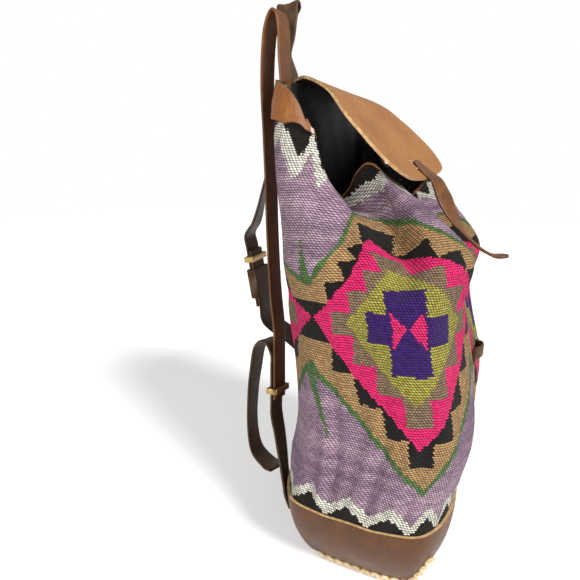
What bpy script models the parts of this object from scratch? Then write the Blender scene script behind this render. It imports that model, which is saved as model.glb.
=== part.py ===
"""A slouched kilim backpack: woven wool body, lining, leather collar, laced leather base, flap and straps.

The front faces -Y, the back faces +Y, +Z is up, and the origin is the middle of the base's floor.
The bag stands empty: its mouth has sunk forwards, both sides are folded in, and the flap droops over it.
"""

from math import pi

import bmesh
import bpy
import numpy as np

MM = 0.001

# Overall sizes, in metres
BODY_WIDTH = 0.265
BODY_DEPTH = 0.157
BACK_HEIGHT = 0.443
BASE_HEIGHT = 0.070
BASE_WIDTH = 0.193
BASE_DEPTH = 0.087
FRONT_BOW = 0.019
BACK_BOW = 0.008
END_BOW = 0.002
CORNER_RADIUS = 0.050
FRONT_SKEW = 0.020

# Sheet thicknesses and clearances
KILIM_THICKNESS = 3.4 * MM
LINING_THICKNESS = 0.9 * MM
LEATHER_THICKNESS = 2.6 * MM
STRAP_THICKNESS = 2.8 * MM
GAP = 0.3 * MM
LINING_EASE = 0.8 * MM

# Edges on the body as shares of the way from the base's seam to the mouth, and the wool's hem inside the base
TUCK_UNDER_BASE = 0.012
COLLAR_FROM = 0.895
KILIM_TO = 0.925
LINING_TO = 0.985

# Flap and its closing strap
FLAP_WIDTH = 0.205
FLAP_CENTRE_X = 0.0135
FLAP_CORNER = 0.024
FLAP_SAG = 0.009
FLAP_TILT = 0.006
CLOSING_STRAP_WIDTH = 0.020

# Shoulder straps
STRAP_WIDTH = 0.023
STRAP_EASE = 0.5 * MM
SLIDE_WIRE = 2.4 * MM
SLIDE_HEIGHT = 6.0 * MM
KEEPER_HEIGHT = 0.032
JUNCTION_REACH = 0.042
FRONT_KEEPER_ARCH = 0.006
FRONT_KEEPER_AT = 0.33
LACE_RADIUS = 1.7 * MM
LACE_PITCH = 9.0 * MM

# Where the body's columns stand, as shares of the way round from the middle of the back, near side first
STATIONS = np.array([0.0, 0.10, 0.172, 0.215, 0.25, 0.285, 0.335, 0.40,
                     0.50, 0.60, 0.665, 0.715, 0.75, 0.785, 0.828, 0.90])
COLUMNS_BETWEEN = 3
NEAR_BACK, NEAR_FRONT, FAR_FRONT, FAR_BACK = STATIONS[2], STATIONS[6], STATIONS[10], STATIONS[14]

# The upper rows of the body: each station's x, y and z as shares of the half width, the half depth and the height
# over the base's seam. Station by station: back, near back corner, near side's back wing, fold and front wing,
# near front corner, front hump, front hollow, and the same again on the far side.
BELLY_ROW = ((0.05, 0.99, 0.59), (-0.45, 1.01, 0.59), (-0.81, 0.92, 0.59), (-0.91, 0.50, 0.59),
             (-0.85, 0.08, 0.60), (-0.79, -0.33, 0.60), (-0.71, -0.79, 0.59), (-0.38, -1.00, 0.59),
             (0.08, -0.75, 0.55), (0.49, -0.84, 0.59), (0.80, -0.64, 0.59), (0.92, -0.25, 0.59),
             (0.92, 0.10, 0.59), (0.95, 0.50, 0.59), (0.88, 0.89, 0.59), (0.53, 1.01, 0.59))
SHOULDER_ROW = ((0.08, 1.07, 0.70), (-0.42, 1.10, 0.70), (-0.76, 1.03, 0.70), (-0.85, 0.59, 0.68),
                (-0.63, 0.25, 0.68), (-0.62, -0.20, 0.70), (-0.60, -0.59, 0.68), (-0.38, -0.64, 0.67),
                (0.09, -0.33, 0.64), (0.49, -0.50, 0.69), (0.75, -0.41, 0.69), (0.83, -0.08, 0.69),
                (0.77, 0.23, 0.68), (0.94, 0.56, 0.69), (0.90, 0.97, 0.70), (0.57, 1.10, 0.70))
MOUTH_ROW = ((0.10, 1.17, 0.998), (-0.38, 1.18, 0.998), (-0.68, 1.10, 0.972), (-0.69, 0.79, 0.86),
             (-0.41, 0.64, 0.75), (-0.49, 0.19, 0.80), (-0.47, -0.06, 0.77), (-0.33, -0.14, 0.75),
             (0.09, -0.05, 0.72), (0.49, -0.10, 0.755), (0.72, -0.04, 0.77), (0.72, 0.20, 0.80),
             (0.62, 0.51, 0.78), (0.86, 0.79, 0.88), (0.88, 1.08, 0.972), (0.55, 1.18, 0.998))
ROW_SHARES = np.array([0.0, 0.235, 0.47, 0.60, 0.71, 1.0])
BASE_ROWS = np.array([0.0, 0.12, 0.38, 0.62, 1 - TUCK_UNDER_BASE / BASE_HEIGHT, 1.0])
CORNER_SLIT = 0.0012


def clear_scene():
    for obj in list(bpy.data.objects):
        bpy.data.objects.remove(obj, do_unlink=True)


def material(name, colour, roughness, metallic=0.0):
    made = bpy.data.materials.new(name)
    made.use_nodes = True
    shader = made.node_tree.nodes["Principled BSDF"]
    shader.inputs["Base Color"].default_value = (*colour, 1.0)
    shader.inputs["Roughness"].default_value = roughness
    shader.inputs["Metallic"].default_value = metallic
    return made


def add_object(name, verts, faces, finish, smooth=True):
    """One closed mesh object with its faces pointing out."""
    mesh = bpy.data.meshes.new(name)
    mesh.from_pydata([tuple(v) for v in verts], [], faces)
    shape = bmesh.new()
    shape.from_mesh(mesh)
    bmesh.ops.recalc_face_normals(shape, faces=shape.faces)
    shape.to_mesh(mesh)
    shape.free()
    if smooth:
        mesh.shade_smooth()
        mesh.set_sharp_from_angle(angle=0.9)
    mesh.materials.append(finish)
    obj = bpy.data.objects.new(name, mesh)
    bpy.context.scene.collection.objects.link(obj)
    return obj


def hermite(knots, values, at, closed=False):
    """A smooth curve through values at knots, read at the given places; a closed one has period 1."""
    values = np.asarray(values, float)
    at = np.atleast_1d(np.asarray(at, float))
    if closed:
        at = at % 1.0
        knots = np.concatenate([knots[-2:] - 1.0, knots, knots[:3] + 1.0])
        values = np.concatenate([values[-2:], values, values[:3]])
    slopes = np.zeros_like(values)
    slopes[1:-1] = (values[2:] - values[:-2]) / (knots[2:] - knots[:-2])[:, None]
    slopes[0] = (values[1] - values[0]) / (knots[1] - knots[0])
    slopes[-1] = (values[-1] - values[-2]) / (knots[-1] - knots[-2])
    i = np.clip(np.searchsorted(knots, at, side="right") - 1, 0, len(knots) - 2)
    step = (knots[i + 1] - knots[i])[:, None]
    s = (at - knots[i])[:, None] / step
    return ((2 * s**3 - 3 * s**2 + 1) * values[i] + (s**3 - 2 * s**2 + s) * step * slopes[i]
            + (3 * s**2 - 2 * s**3) * values[i + 1] + (s**3 - s**2) * step * slopes[i + 1])


def smooth_path(points, count):
    """The given points joined by a smooth curve, as count points evenly spaced in length."""
    points = np.asarray(points, float)
    steps = np.linalg.norm(np.diff(points, axis=0), axis=1)
    knots = np.concatenate([[0.0], np.cumsum(steps)])
    fine = hermite(knots, points, np.linspace(0, knots[-1], 12 * count))
    walked = np.concatenate([[0.0], np.cumsum(np.linalg.norm(np.diff(fine, axis=0), axis=1))])
    evenly = np.linspace(0, walked[-1], count)
    return np.stack([np.interp(evenly, walked, fine[:, k]) for k in range(3)], axis=1)


def rounded_row(half_width, back, front, radius, height):
    """The stations of one row on a rounded rectangle whose front slants back towards the far side."""
    half_depth = (back - front) / 2
    flat_x, flat_y = half_width - radius, half_depth - radius
    arc = pi * radius / 2
    half_round = 2 * (flat_x + flat_y + arc)
    near = []
    for way in STATIONS[1:8] * 2 * half_round:
        if way <= flat_x:
            x, y = way, half_depth
        elif way <= flat_x + arc:
            angle = (way - flat_x) / radius
            x, y = flat_x + radius * np.sin(angle), flat_y + radius * np.cos(angle)
        elif way <= flat_x + arc + 2 * flat_y:
            x, y = half_width, flat_x + arc + flat_y - way
        elif way <= half_round - flat_x:
            angle = (half_round - flat_x - way) / radius
            x, y = flat_x + radius * np.sin(angle), -flat_y - radius * np.cos(angle)
        else:
            x, y = half_round - way, -half_depth
        near.append((-x, y, height))
    far = [(-x, y, z) for x, y, z in reversed(near)]
    row = np.array([(0, half_depth, height)] + near + [(0, -half_depth, height)] + far)
    towards_front = np.clip(-row[:, 1] / half_depth, 0, 1)
    row[:, 1] += (back + front) / 2 + FRONT_SKEW * towards_front * (row[:, 0] / half_width + 1) / 2
    return row


def shared_row(row):
    """A row given in shares of the body's half width, half depth and height, as points in metres."""
    shares = np.array(row)
    size = (BODY_WIDTH / 2, BODY_DEPTH / 2, BACK_HEIGHT - BASE_HEIGHT)
    return shares * size + (0, 0, BASE_HEIGHT)


def body_rows():
    half_width, half_depth = BODY_WIDTH / 2, BODY_DEPTH / 2
    rise = BACK_HEIGHT - BASE_HEIGHT
    lower = ((1.0, 0.98, -1.02, 0.0), (0.98, 0.79, -1.17, 0.228), (0.95, 0.92, -0.96, 0.469))
    rounded = [rounded_row(wide * half_width, back * half_depth, front * half_depth, CORNER_RADIUS,
                           BASE_HEIGHT + high * rise) for wide, back, front, high in lower]
    return np.array(rounded + [shared_row(BELLY_ROW), shared_row(SHOULDER_ROW), shared_row(MOUTH_ROW)])


def body_points(around, up):
    """The body's reference surface: a grid of points at shares of the way round and of the way up."""
    rows = body_rows()
    columns = np.array([hermite(STATIONS, row, around, closed=True) for row in rows])
    flat = columns.reshape(len(rows), -1)
    return hermite(ROW_SHARES, flat, up).reshape(len(up), len(around), 3)


def base_outline(around):
    """The base's bottom edge: four bowed sides between sharp corners."""
    x, y = BASE_WIDTH / 2, BASE_DEPTH / 2
    sides = ((NEAR_BACK, NEAR_FRONT, (-x, y), (-x, -y), (-END_BOW, 0)),
             (NEAR_FRONT, FAR_FRONT, (-x, -y), (x, -y), (0, -FRONT_BOW)),
             (FAR_FRONT, FAR_BACK, (x, -y), (x, y), (END_BOW, 0)),
             (FAR_BACK, NEAR_BACK + 1, (x, y), (-x, y), (0, BACK_BOW)))
    outline = []
    for place in np.asarray(around) % 1.0:
        place = place + 1 if place < NEAR_BACK - 1e-9 else place
        for start, end, corner, other, bow in sides:
            if place <= end + 1e-9:
                break
        t = (place - start) / (end - start)
        swell = 4 * t * (1 - t)
        outline.append([corner[k] + (other[k] - corner[k]) * t + bow[k] * swell for k in (0, 1)] + [0.0])
    return np.array(outline)


def base_points(around, up):
    """The base's flaring wall, from its bottom edge at 0 to the seam at 1."""
    bottom = base_outline(around)
    seam = body_points(around, [0.0])[0]
    grid = []
    for share in up:
        flare = np.sin(share * pi / 2) ** 0.85
        row = bottom + (seam - bottom) * flare
        row[:, 2] = share * BASE_HEIGHT
        grid.append(row)
    return np.array(grid)


def normals(grid, wraps):
    """Outward unit normals of a grid whose columns run clockwise seen from above and whose rows run upwards."""
    if wraps:
        along = np.roll(grid, -1, axis=1) - np.roll(grid, 1, axis=1)
    else:
        along = np.gradient(grid, axis=1)
    upward = np.gradient(grid, axis=0)
    out = np.cross(along, upward)
    return out / np.linalg.norm(out, axis=2, keepdims=True)


def column_places(start=0.0, end=1.0):
    """Places round the body, closer together where it folds: all of them, or those from start to end."""
    ends = np.concatenate([STATIONS, STATIONS + 1.0])
    steps = np.arange(COLUMNS_BETWEEN) / COLUMNS_BETWEEN
    places = (ends[:-1, None] + np.diff(ends)[:, None] * steps).ravel()
    if end - start == 1.0:
        return places[places < 1.0 - 1e-9]
    return places[(places > start - 1e-9) & (places < end + 1e-9)]


def wall_rows():
    """The whole wall from the floor to the mouth, with its outward normals, and the rows that its layers share."""
    around = column_places()
    body_up = np.append(np.linspace(0, COLLAR_FROM, 14), [KILIM_TO, (KILIM_TO + LINING_TO) / 2, LINING_TO, 1.0])
    grid = np.concatenate([base_points(around, BASE_ROWS[:-1]), body_points(around, body_up)])
    hem, top = len(BASE_ROWS) - 2, len(grid)
    rows = {"hem": hem, "collar": top - 5, "kilim_top": top - 4, "lining_top": top - 2}
    return grid, normals(grid, wraps=True), rows


def grid_faces(first, rows, columns, wraps, flip=False):
    """Triangles of a grid of vertices from index first; layers split alike stay parallel where they twist."""
    faces = []
    for j in range(rows - 1):
        for i in range(columns if wraps else columns - 1):
            k = (i + 1) % columns
            low, low_next = first + j * columns + i, first + j * columns + k
            pair = [[low, low_next, low_next + columns], [low, low_next + columns, low + columns]]
            faces += [face[::-1] for face in pair] if flip else pair
    return faces


def shell(name, outer, inner, finish, wraps):
    """A sheet between two matching grids, closed at its edges."""
    rows, columns, _ = outer.shape
    count = rows * columns
    verts = np.concatenate([outer.reshape(-1, 3), inner.reshape(-1, 3)])
    faces = grid_faces(0, rows, columns, wraps) + grid_faces(count, rows, columns, wraps, flip=True)
    for i in range(columns if wraps else columns - 1):
        k = (i + 1) % columns
        top = (rows - 1) * columns
        faces.append([k, i, count + i, count + k])
        faces.append([top + i, top + k, count + top + k, count + top + i])
    if not wraps:
        for j in range(rows - 1):
            a, b = j * columns, (j + 1) * columns
            faces.append([a, b, count + b, count + a])
            a, b = a + columns - 1, b + columns - 1
            faces.append([b, a, count + a, count + b])
    return add_object(name, verts, faces, finish)


def kilim_body(finish):
    grid, out, rows = wall_rows()
    part = slice(rows["hem"], rows["kilim_top"] + 1)
    return shell("kilim_body", grid[part], (grid - out * KILIM_THICKNESS)[part], finish, wraps=True)


def lining(finish):
    """A thin bag inside the woven one, closed by a floor that lies on the leather."""
    grid, out, rows = wall_rows()
    grid, out = grid[:rows["lining_top"] + 1], out[:rows["lining_top"] + 1]
    first = KILIM_THICKNESS + LINING_EASE
    outer = grid - out * first
    inner = grid - out * (first + LINING_THICKNESS)
    floor = LEATHER_THICKNESS + GAP
    outer[0, :, 2] = floor
    inner[0, :, 2] = floor + LINING_THICKNESS
    height, columns, _ = grid.shape
    count = height * columns
    verts = np.concatenate([outer.reshape(-1, 3), inner.reshape(-1, 3),
                            [[0, 0, floor], [0, 0, floor + LINING_THICKNESS]]])
    faces = grid_faces(0, height, columns, True) + grid_faces(count, height, columns, True, flip=True)
    top = (height - 1) * columns
    for i in range(columns):
        k = (i + 1) % columns
        faces.append([top + i, top + k, count + top + k, count + top + i])
        faces.append([k, i, 2 * count])
        faces.append([count + i, count + k, 2 * count + 1])
    return add_object("lining", verts, faces, finish)


def mouth_collar(finish):
    grid, out, rows = wall_rows()
    part = slice(rows["collar"], None)
    outer = grid + out * (GAP + LEATHER_THICKNESS)
    return shell("mouth_collar", outer[part], (grid + out * GAP)[part], finish, wraps=True)


def base_end(name, start, end, finish):
    """One end panel, standing on the strip's edge between two corners."""
    around = column_places(start, end)
    around[0] += CORNER_SLIT
    around[-1] -= CORNER_SLIT
    up = BASE_ROWS.copy()
    up[0] = (LEATHER_THICKNESS + GAP) / BASE_HEIGHT
    grid = base_points(around, up)
    out = normals(grid, wraps=False)
    outer = grid + out * (GAP + LEATHER_THICKNESS)
    inner = grid + out * GAP
    outer[0, :, 2] = inner[0, :, 2] = grid[0, :, 2]
    return shell(name, outer, inner, finish, wraps=False)


def base_strip(finish):
    """The front, the bottom and the back of the base, cut as one strip."""
    front = base_points(column_places(NEAR_FRONT, FAR_FRONT), BASE_ROWS)
    back = base_points(column_places(FAR_BACK, NEAR_BACK + 1)[::-1], BASE_ROWS)
    front_out, back_out = normals(front, wraps=False), -normals(back, wraps=False)
    layers = []
    for lift, level in ((GAP + LEATHER_THICKNESS, 0.0), (GAP, LEATHER_THICKNESS)):
        front_wall = front + front_out * lift
        back_wall = back + back_out * lift
        front_wall[0, :, 2] = back_wall[0, :, 2] = level
        share = np.array([0.05, 0.28, 0.5, 0.72, 0.95])[:, None, None]
        floor = back_wall[0] + (front_wall[0] - back_wall[0]) * share
        under_ends = GAP + LEATHER_THICKNESS + END_BOW * (4 * share * (1 - share))[:, 0, 0]
        floor[:, 0, 0] -= under_ends
        floor[:, -1, 0] += under_ends
        layers.append(np.concatenate([back_wall[::-1], floor, front_wall]))
    return shell("base_strip", layers[0], layers[1], finish, wraps=False)


def tube(name, path, radii, sides, finish):
    """A closed tube along a path, its radius given point by point."""
    path = np.asarray(path)
    ahead = np.gradient(path, axis=0)
    ahead /= np.linalg.norm(ahead, axis=1, keepdims=True)
    side = np.cross(ahead, (0.31, 0.17, 0.93))
    side /= np.linalg.norm(side, axis=1, keepdims=True)
    over = np.cross(side, ahead)
    angles = np.linspace(0, 2 * pi, sides, endpoint=False)
    rings = [p + r * (np.cos(a) * s + np.sin(a) * o) for p, r, s, o in zip(path, radii, side, over) for a in angles]
    verts = np.array(rings)
    count = len(path)
    faces = grid_faces(0, count, sides, True)
    faces.append(list(range(sides))[::-1])
    faces.append([(count - 1) * sides + k for k in range(sides)])
    return add_object(name, verts, faces, finish)


def edge_lacing(name, start, end, finish):
    """A plaited lace outside one end panel: along its foot and half way up its front corner."""
    reach = GAP + LEATHER_THICKNESS + GAP + 1.3 * LACE_RADIUS
    level = (LEATHER_THICKNESS + 2.4 * LACE_RADIUS) / BASE_HEIGHT
    front_corner = NEAR_FRONT if start == NEAR_BACK else FAR_FRONT
    walk = np.linspace(start, end, 25) if front_corner == end else np.linspace(end, start, 25)
    inside = 0.004
    walk = np.clip(walk, start + inside, end - inside)
    foot = base_points(walk, [level, level + 0.02])
    foot_out = normals(foot, wraps=False) * (1 if front_corner == end else -1)
    low = foot[0] + foot_out[0] * reach
    rise = base_points([walk[-1]], np.linspace(level, 0.52, 8))[:, 0]
    corner = low[-1] + (rise - rise[0])
    route = smooth_path(np.concatenate([low[:-1], corner]), 60)
    length = np.linalg.norm(np.diff(route, axis=0), axis=1).sum()
    phase = np.linspace(0, length / LACE_PITCH * 2 * pi, len(route))
    return tube(name, route, LACE_RADIUS * (1 + 0.3 * np.cos(phase)), 6, finish)


def flap_grid(across_count, along_count):
    """The flap's underside: it leaves the back of the mouth level, then droops, and sags in the middle."""
    half = FLAP_WIDTH / 2
    profile_y = BODY_DEPTH / 2 * np.array([1.20, 1.02, 0.66, 0.42, 0.17, -0.13, -0.26])
    droop = (BACK_HEIGHT - BASE_HEIGHT) * np.array([0.0, 0.002, -0.036, -0.085, -0.142, -0.212, -0.236])
    profile = np.stack([np.zeros(7), profile_y, BACK_HEIGHT + 2 * GAP + droop], axis=1)
    centre = smooth_path(profile, 60)
    steps = np.linalg.norm(np.diff(centre, axis=0), axis=1)
    walked = np.concatenate([[0.0], np.cumsum(steps)])
    grid = np.zeros((along_count, across_count, 3))
    for i, across in enumerate(np.linspace(-1, 1, across_count)):
        into = max(0.0, abs(across) * half - (half - FLAP_CORNER)) / FLAP_CORNER
        cut = FLAP_CORNER * (1 - np.sqrt(max(0.0, 1 - into**2)))
        reach = np.linspace(0, walked[-1] - cut, along_count)
        share = reach / walked[-1]
        for axis in (1, 2):
            grid[:, i, axis] = np.interp(reach, walked, centre[:, axis])
        grid[:, i, 0] = FLAP_CENTRE_X + across * half
        lift = FLAP_SAG * across**2 + FLAP_TILT * across
        grid[:, i, 2] += lift * share**1.5
    return grid


def flap(finish):
    under = flap_grid(17, 12)
    upward = -normals(under, wraps=False)
    upward[0] = (0, 0, 1)
    return shell("flap", under + upward * LEATHER_THICKNESS, under, finish, wraps=False)


def ribbon(name, path, sides, width, thickness, finish):
    """A flat strap along a path; sides gives the direction of its width at each point."""
    path, sides = np.asarray(path), np.asarray(sides, float)
    ahead = np.gradient(path, axis=0)
    ahead /= np.linalg.norm(ahead, axis=1, keepdims=True)
    sides = sides - ahead * (sides * ahead).sum(axis=1, keepdims=True)
    sides /= np.linalg.norm(sides, axis=1, keepdims=True)
    face = np.cross(ahead, sides)
    a, t = width / 2, thickness / 2
    bevel = 0.6 * t
    profile = ((-a, -t + bevel), (-a + bevel, -t), (a - bevel, -t), (a, -t + bevel),
               (a, t - bevel), (a - bevel, t), (-a + bevel, t), (-a, t - bevel))
    verts = np.array([p + s * x + f * y for p, s, f in zip(path, sides, face) for x, y in profile])
    count, ring = len(path), len(profile)
    faces = grid_faces(0, count, ring, True)
    faces.append(list(range(ring))[::-1])
    faces.append([(count - 1) * ring + k for k in range(ring)])
    return add_object(name, verts, faces, finish)


def spread_sides(keys, count):
    """Width directions along a strap, from a few given as (share of the length, direction)."""
    shares = [share for share, _ in keys]
    return np.stack([np.interp(np.linspace(0, 1, count), shares, [way[k] for _, way in keys]) for k in range(3)], axis=1)


def on_wall(place, share, lift, base=False):
    """A point outside the body's wall, or outside the base's, at a lift from the reference surface."""
    around = np.array([place - 0.004, place, place + 0.004])
    up = np.array([share - 0.01, share, share + 0.01])
    grid = base_points(around, up) if base else body_points(around, up)
    return grid[1, 1] + normals(grid, wraps=False)[1, 1] * lift


def junction_axes(junction):
    """A junction's centre, the way down the straps, the way that they face, and the way across them."""
    centre, down, facing = (np.array(v) for v in junction)
    down = down / np.linalg.norm(down)
    facing = facing - down * facing.dot(down)
    facing /= np.linalg.norm(facing)
    return centre, down, facing, np.cross(down, facing)


def joined_at(junction, along, side):
    """A point of one of the two straps that lie on each other at a junction."""
    centre, down, facing, _ = junction_axes(junction)
    return tuple(centre + down * along + facing * side * (STRAP_THICKNESS / 2 + GAP))


def strap(name, route, keys, width, finish, junction=None):
    """A strap along a route; where it lies on another at a junction, it faces as the junction does."""
    count = 3 * len(route)
    path = smooth_path(route, count)
    sides = spread_sides(keys, count)
    if junction:
        centre, _, _, across = junction_axes(junction)
        away = np.linalg.norm(path - centre, axis=1) / JUNCTION_REACH
        share = np.clip(2 - away, 0, 1)[:, None]
        sides = sides * (1 - share) + across * share
    return ribbon(name, path, sides, width, STRAP_THICKNESS, finish)


def sleeve(name, junction, along, height, wall, finish):
    """A band closed round the two straps of a junction, its faces square to them."""
    centre, down, facing, across = junction_axes(junction)
    inner = (STRAP_WIDTH / 2 + GAP, STRAP_THICKNESS + 2 * GAP)
    verts = []
    for end in (-height / 2, height / 2):
        for grow in (wall, 0.0):
            for i, j in ((-1, -1), (1, -1), (1, 1), (-1, 1)):
                corner = across * i * (inner[0] + grow) + facing * j * (inner[1] + grow)
                verts.append(centre + down * (along + end) + corner)
    faces = []
    for k in range(4):
        n = (k + 1) % 4
        faces += [[k, n, 8 + n, 8 + k], [4 + n, 4 + k, 12 + k, 12 + n], [n, k, 4 + k, 4 + n],
                  [8 + k, 8 + n, 12 + n, 12 + k]]
    return add_object(name, verts, faces, finish, smooth=False)


def front_keeper(finish):
    """A leather loop on the front, under which the closing strap tucks."""
    around = np.linspace(0.490, 0.540, 13)
    route = []
    for k, place in enumerate(around):
        arch = FRONT_KEEPER_ARCH * np.sin(pi * np.clip((k - 2) / 8, 0, 1)) ** 0.5
        route.append(on_wall(place, FRONT_KEEPER_AT, GAP + STRAP_EASE + STRAP_THICKNESS / 2 + arch))
    sides = np.tile((0.0, 0.0, 1.0), (13, 1))
    return ribbon("front_keeper", route, sides, 0.012, STRAP_THICKNESS * 0.8, finish)


def closing_strap(finish):
    """The strap that hangs from the flap's middle into the hollow of the front; its tip stands out."""
    lift = LEATHER_THICKNESS + GAP + STRAP_EASE + STRAP_THICKNESS / 2
    under = flap_grid(17, 12)
    upward = -normals(under, wraps=False)
    on_flap = (under + upward * lift)[7:, 8]
    edge = on_flap[-1]
    hanging = [edge + (0, y, z) for y, z in CLOSING_STRAP_FALL]
    route = list(on_flap) + hanging
    keys = ((0, (1, 0, 0)), (1, (1, 0, 0)))
    return strap("closing_strap", route, keys, CLOSING_STRAP_WIDTH, finish)


# Junctions of the shoulder straps: centre, direction down the strap, and the side that faces away from the back
NEAR_JUNCTION = ((-0.0720, 0.0985, 0.158), (-0.12, -0.06, -0.99), (0.0, 1.0, 0.0))
FAR_JUNCTION = ((-0.0265, 0.1450, 0.247), (0.10, -0.12, -0.98), (0.0, 1.0, 0.0))
# Hanging routes, as x, y, z points in metres chosen along each strap
NEAR_UPPER = ((-0.0790, 0.1025, 0.448), (-0.0780, 0.1055, 0.470), (-0.0740, 0.1060, 0.490), (-0.0675, 0.1045, 0.500),
              (-0.0600, 0.1030, 0.497), (-0.0545, 0.1020, 0.480), (-0.0510, 0.1060, 0.440), (-0.0480, 0.1110, 0.400),
              (-0.0480, 0.1160, 0.355), (-0.0515, 0.1140, 0.300), (-0.0580, 0.1080, 0.245))
FAR_UPPER = ((-0.0360, 0.1005, 0.450), (-0.0380, 0.1025, 0.475), (-0.0410, 0.1035, 0.495), (-0.0375, 0.1045, 0.511),
             (-0.0290, 0.1070, 0.511), (-0.0235, 0.1110, 0.490), (-0.0220, 0.1180, 0.445), (-0.0240, 0.1270, 0.390),
             (-0.0265, 0.1390, 0.340), (-0.0290, 0.1460, 0.312))
NEAR_SLACK = ((-0.0683, 0.1070, 0.1945), (-0.0665, 0.1150, 0.196), (-0.0620, 0.1250, 0.186),
              (-0.0550, 0.1340, 0.160), (-0.0490, 0.1420, 0.126), (-0.0450, 0.1460, 0.084),
              (-0.0480, 0.1390, 0.058), (-0.0530, 0.1210, 0.048), (-0.0590, 0.1060, 0.050))
FAR_LOWER = ((0.0700, 0.0960, 0.105), (0.0450, 0.1110, 0.140), (0.0120, 0.1260, 0.176))
# How the closing strap falls from the flap's edge, as y and z steps from it
CLOSING_STRAP_FALL = ((-0.006, -0.005), (-0.012, -0.016), (-0.020, -0.032), (-0.031, -0.049), (-0.047, -0.065), (-0.062, -0.073),
                      (-0.076, -0.073))


def shoulder_straps(leather, brass):
    rest = 2 * GAP + LEATHER_THICKNESS + STRAP_EASE + STRAP_THICKNESS / 2
    on_collar = [on_wall(0.148, share, rest) for share in (0.92, 0.96)]
    strap("near_upper_strap", on_collar + list(NEAR_UPPER) + [joined_at(NEAR_JUNCTION, s, -1) for s in (-0.05, -0.035, -0.01, 0.018)],
          ((0, (1, 0.16, 0)), (0.10, (1, 0.2, 0)), (0.22, (0.1, 1, 0)), (0.36, (0.8, 0.6, 0)), (1, (1, 0, 0))),
          STRAP_WIDTH, leather, NEAR_JUNCTION)
    on_collar = [on_wall(0.071, share, rest) for share in (0.92, 0.96)]
    strap("far_upper_strap", on_collar + list(FAR_UPPER) + [joined_at(FAR_JUNCTION, s, 1) for s in (-0.052, -0.04, -0.02, 0.0, 0.026)],
          ((0, (1, 0, 0)), (0.10, (1, 0, 0)), (0.22, (0.1, 1, 0)), (0.36, (0.8, 0.6, 0)), (1, (1, 0, 0))),
          STRAP_WIDTH, leather, FAR_JUNCTION)
    on_base = [on_wall(1.128, share, rest, base=True) for share in (0.62, 0.8, 0.96)]
    through = [joined_at(NEAR_JUNCTION, s, 1) for s in (0.034, 0.02, 0.0, -0.016, -0.026)]
    strap("near_lower_strap", on_base + [(-0.0790, 0.0930, 0.105)] + through + list(NEAR_SLACK),
          ((0, (1, 0.3, 0)), (1, (1, 0, 0))), STRAP_WIDTH, leather, NEAR_JUNCTION)
    on_base = [on_wall(0.872, share, rest, base=True) for share in (0.62, 0.8, 0.96)]
    strap("far_lower_strap", on_base + list(FAR_LOWER) + [joined_at(FAR_JUNCTION, s, -1) for s in (0.042, 0.028, 0.01, -0.01, -0.036)],
          ((0, (1, -0.3, 0)), (1, (1, 0, 0))), STRAP_WIDTH, leather, FAR_JUNCTION)
    sleeve("near_strap_slide", NEAR_JUNCTION, 0.009, SLIDE_HEIGHT, SLIDE_WIRE, brass)
    sleeve("far_strap_slide", FAR_JUNCTION, -0.027, SLIDE_HEIGHT, SLIDE_WIRE, brass)
    sleeve("far_strap_keeper", FAR_JUNCTION, 0.0, KEEPER_HEIGHT, STRAP_THICKNESS * 0.7, leather)


def main():
    clear_scene()
    leather = material("base_leather", (0.245, 0.105, 0.045), 0.5)
    flap_leather = material("flap_leather", (0.54, 0.26, 0.11), 0.45)
    collar_leather = material("collar_leather", (0.38, 0.14, 0.05), 0.35)
    strap_leather = material("strap_leather", (0.15, 0.07, 0.03), 0.5)
    wool = material("woven_wool", (0.45, 0.30, 0.47), 0.95)
    cotton = material("black_lining", (0.01, 0.01, 0.01), 0.7)
    thong = material("rawhide_lace", (0.74, 0.60, 0.35), 0.6)
    brass = material("brass", (0.70, 0.52, 0.25), 0.3, metallic=1.0)
    kilim_body(wool)
    lining(cotton)
    mouth_collar(collar_leather)
    base_strip(leather)
    base_end("base_end_near", NEAR_BACK, NEAR_FRONT, leather)
    base_end("base_end_far", FAR_FRONT, FAR_BACK, leather)
    edge_lacing("edge_lacing_near", NEAR_BACK, NEAR_FRONT, thong)
    edge_lacing("edge_lacing_far", FAR_FRONT, FAR_BACK, thong)
    flap(flap_leather)
    closing_strap(flap_leather)
    front_keeper(strap_leather)
    shoulder_straps(strap_leather, brass)


main()
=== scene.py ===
# %% [markdown]
# A slouched backpack: a tube of hand-woven kilim wool with a leather collar, flap, base and straps. This
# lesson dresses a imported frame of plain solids. Every piece is made in the frame's own metres, with +Z up,
# the bag's front towards -Y and its back, where the straps hang, towards +Y.

# %% Load the frame
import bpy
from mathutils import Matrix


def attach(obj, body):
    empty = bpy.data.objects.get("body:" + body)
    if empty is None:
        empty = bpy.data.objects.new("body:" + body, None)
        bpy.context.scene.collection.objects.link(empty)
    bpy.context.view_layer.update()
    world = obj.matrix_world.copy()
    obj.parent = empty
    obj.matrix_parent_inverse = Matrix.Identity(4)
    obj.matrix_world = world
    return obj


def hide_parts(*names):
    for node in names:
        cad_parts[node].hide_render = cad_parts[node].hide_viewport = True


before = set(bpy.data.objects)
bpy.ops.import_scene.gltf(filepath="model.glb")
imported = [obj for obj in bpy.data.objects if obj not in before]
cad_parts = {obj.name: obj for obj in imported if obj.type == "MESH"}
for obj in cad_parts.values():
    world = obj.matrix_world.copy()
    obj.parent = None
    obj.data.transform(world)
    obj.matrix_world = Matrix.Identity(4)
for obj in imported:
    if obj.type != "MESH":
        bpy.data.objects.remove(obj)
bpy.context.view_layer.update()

from math import pi, radians

import bmesh
import bpy
import numpy as np
from mathutils import Matrix, Vector

BAG, FLAP_BODY = "bag", "flap_body"
MM = 0.001

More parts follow.
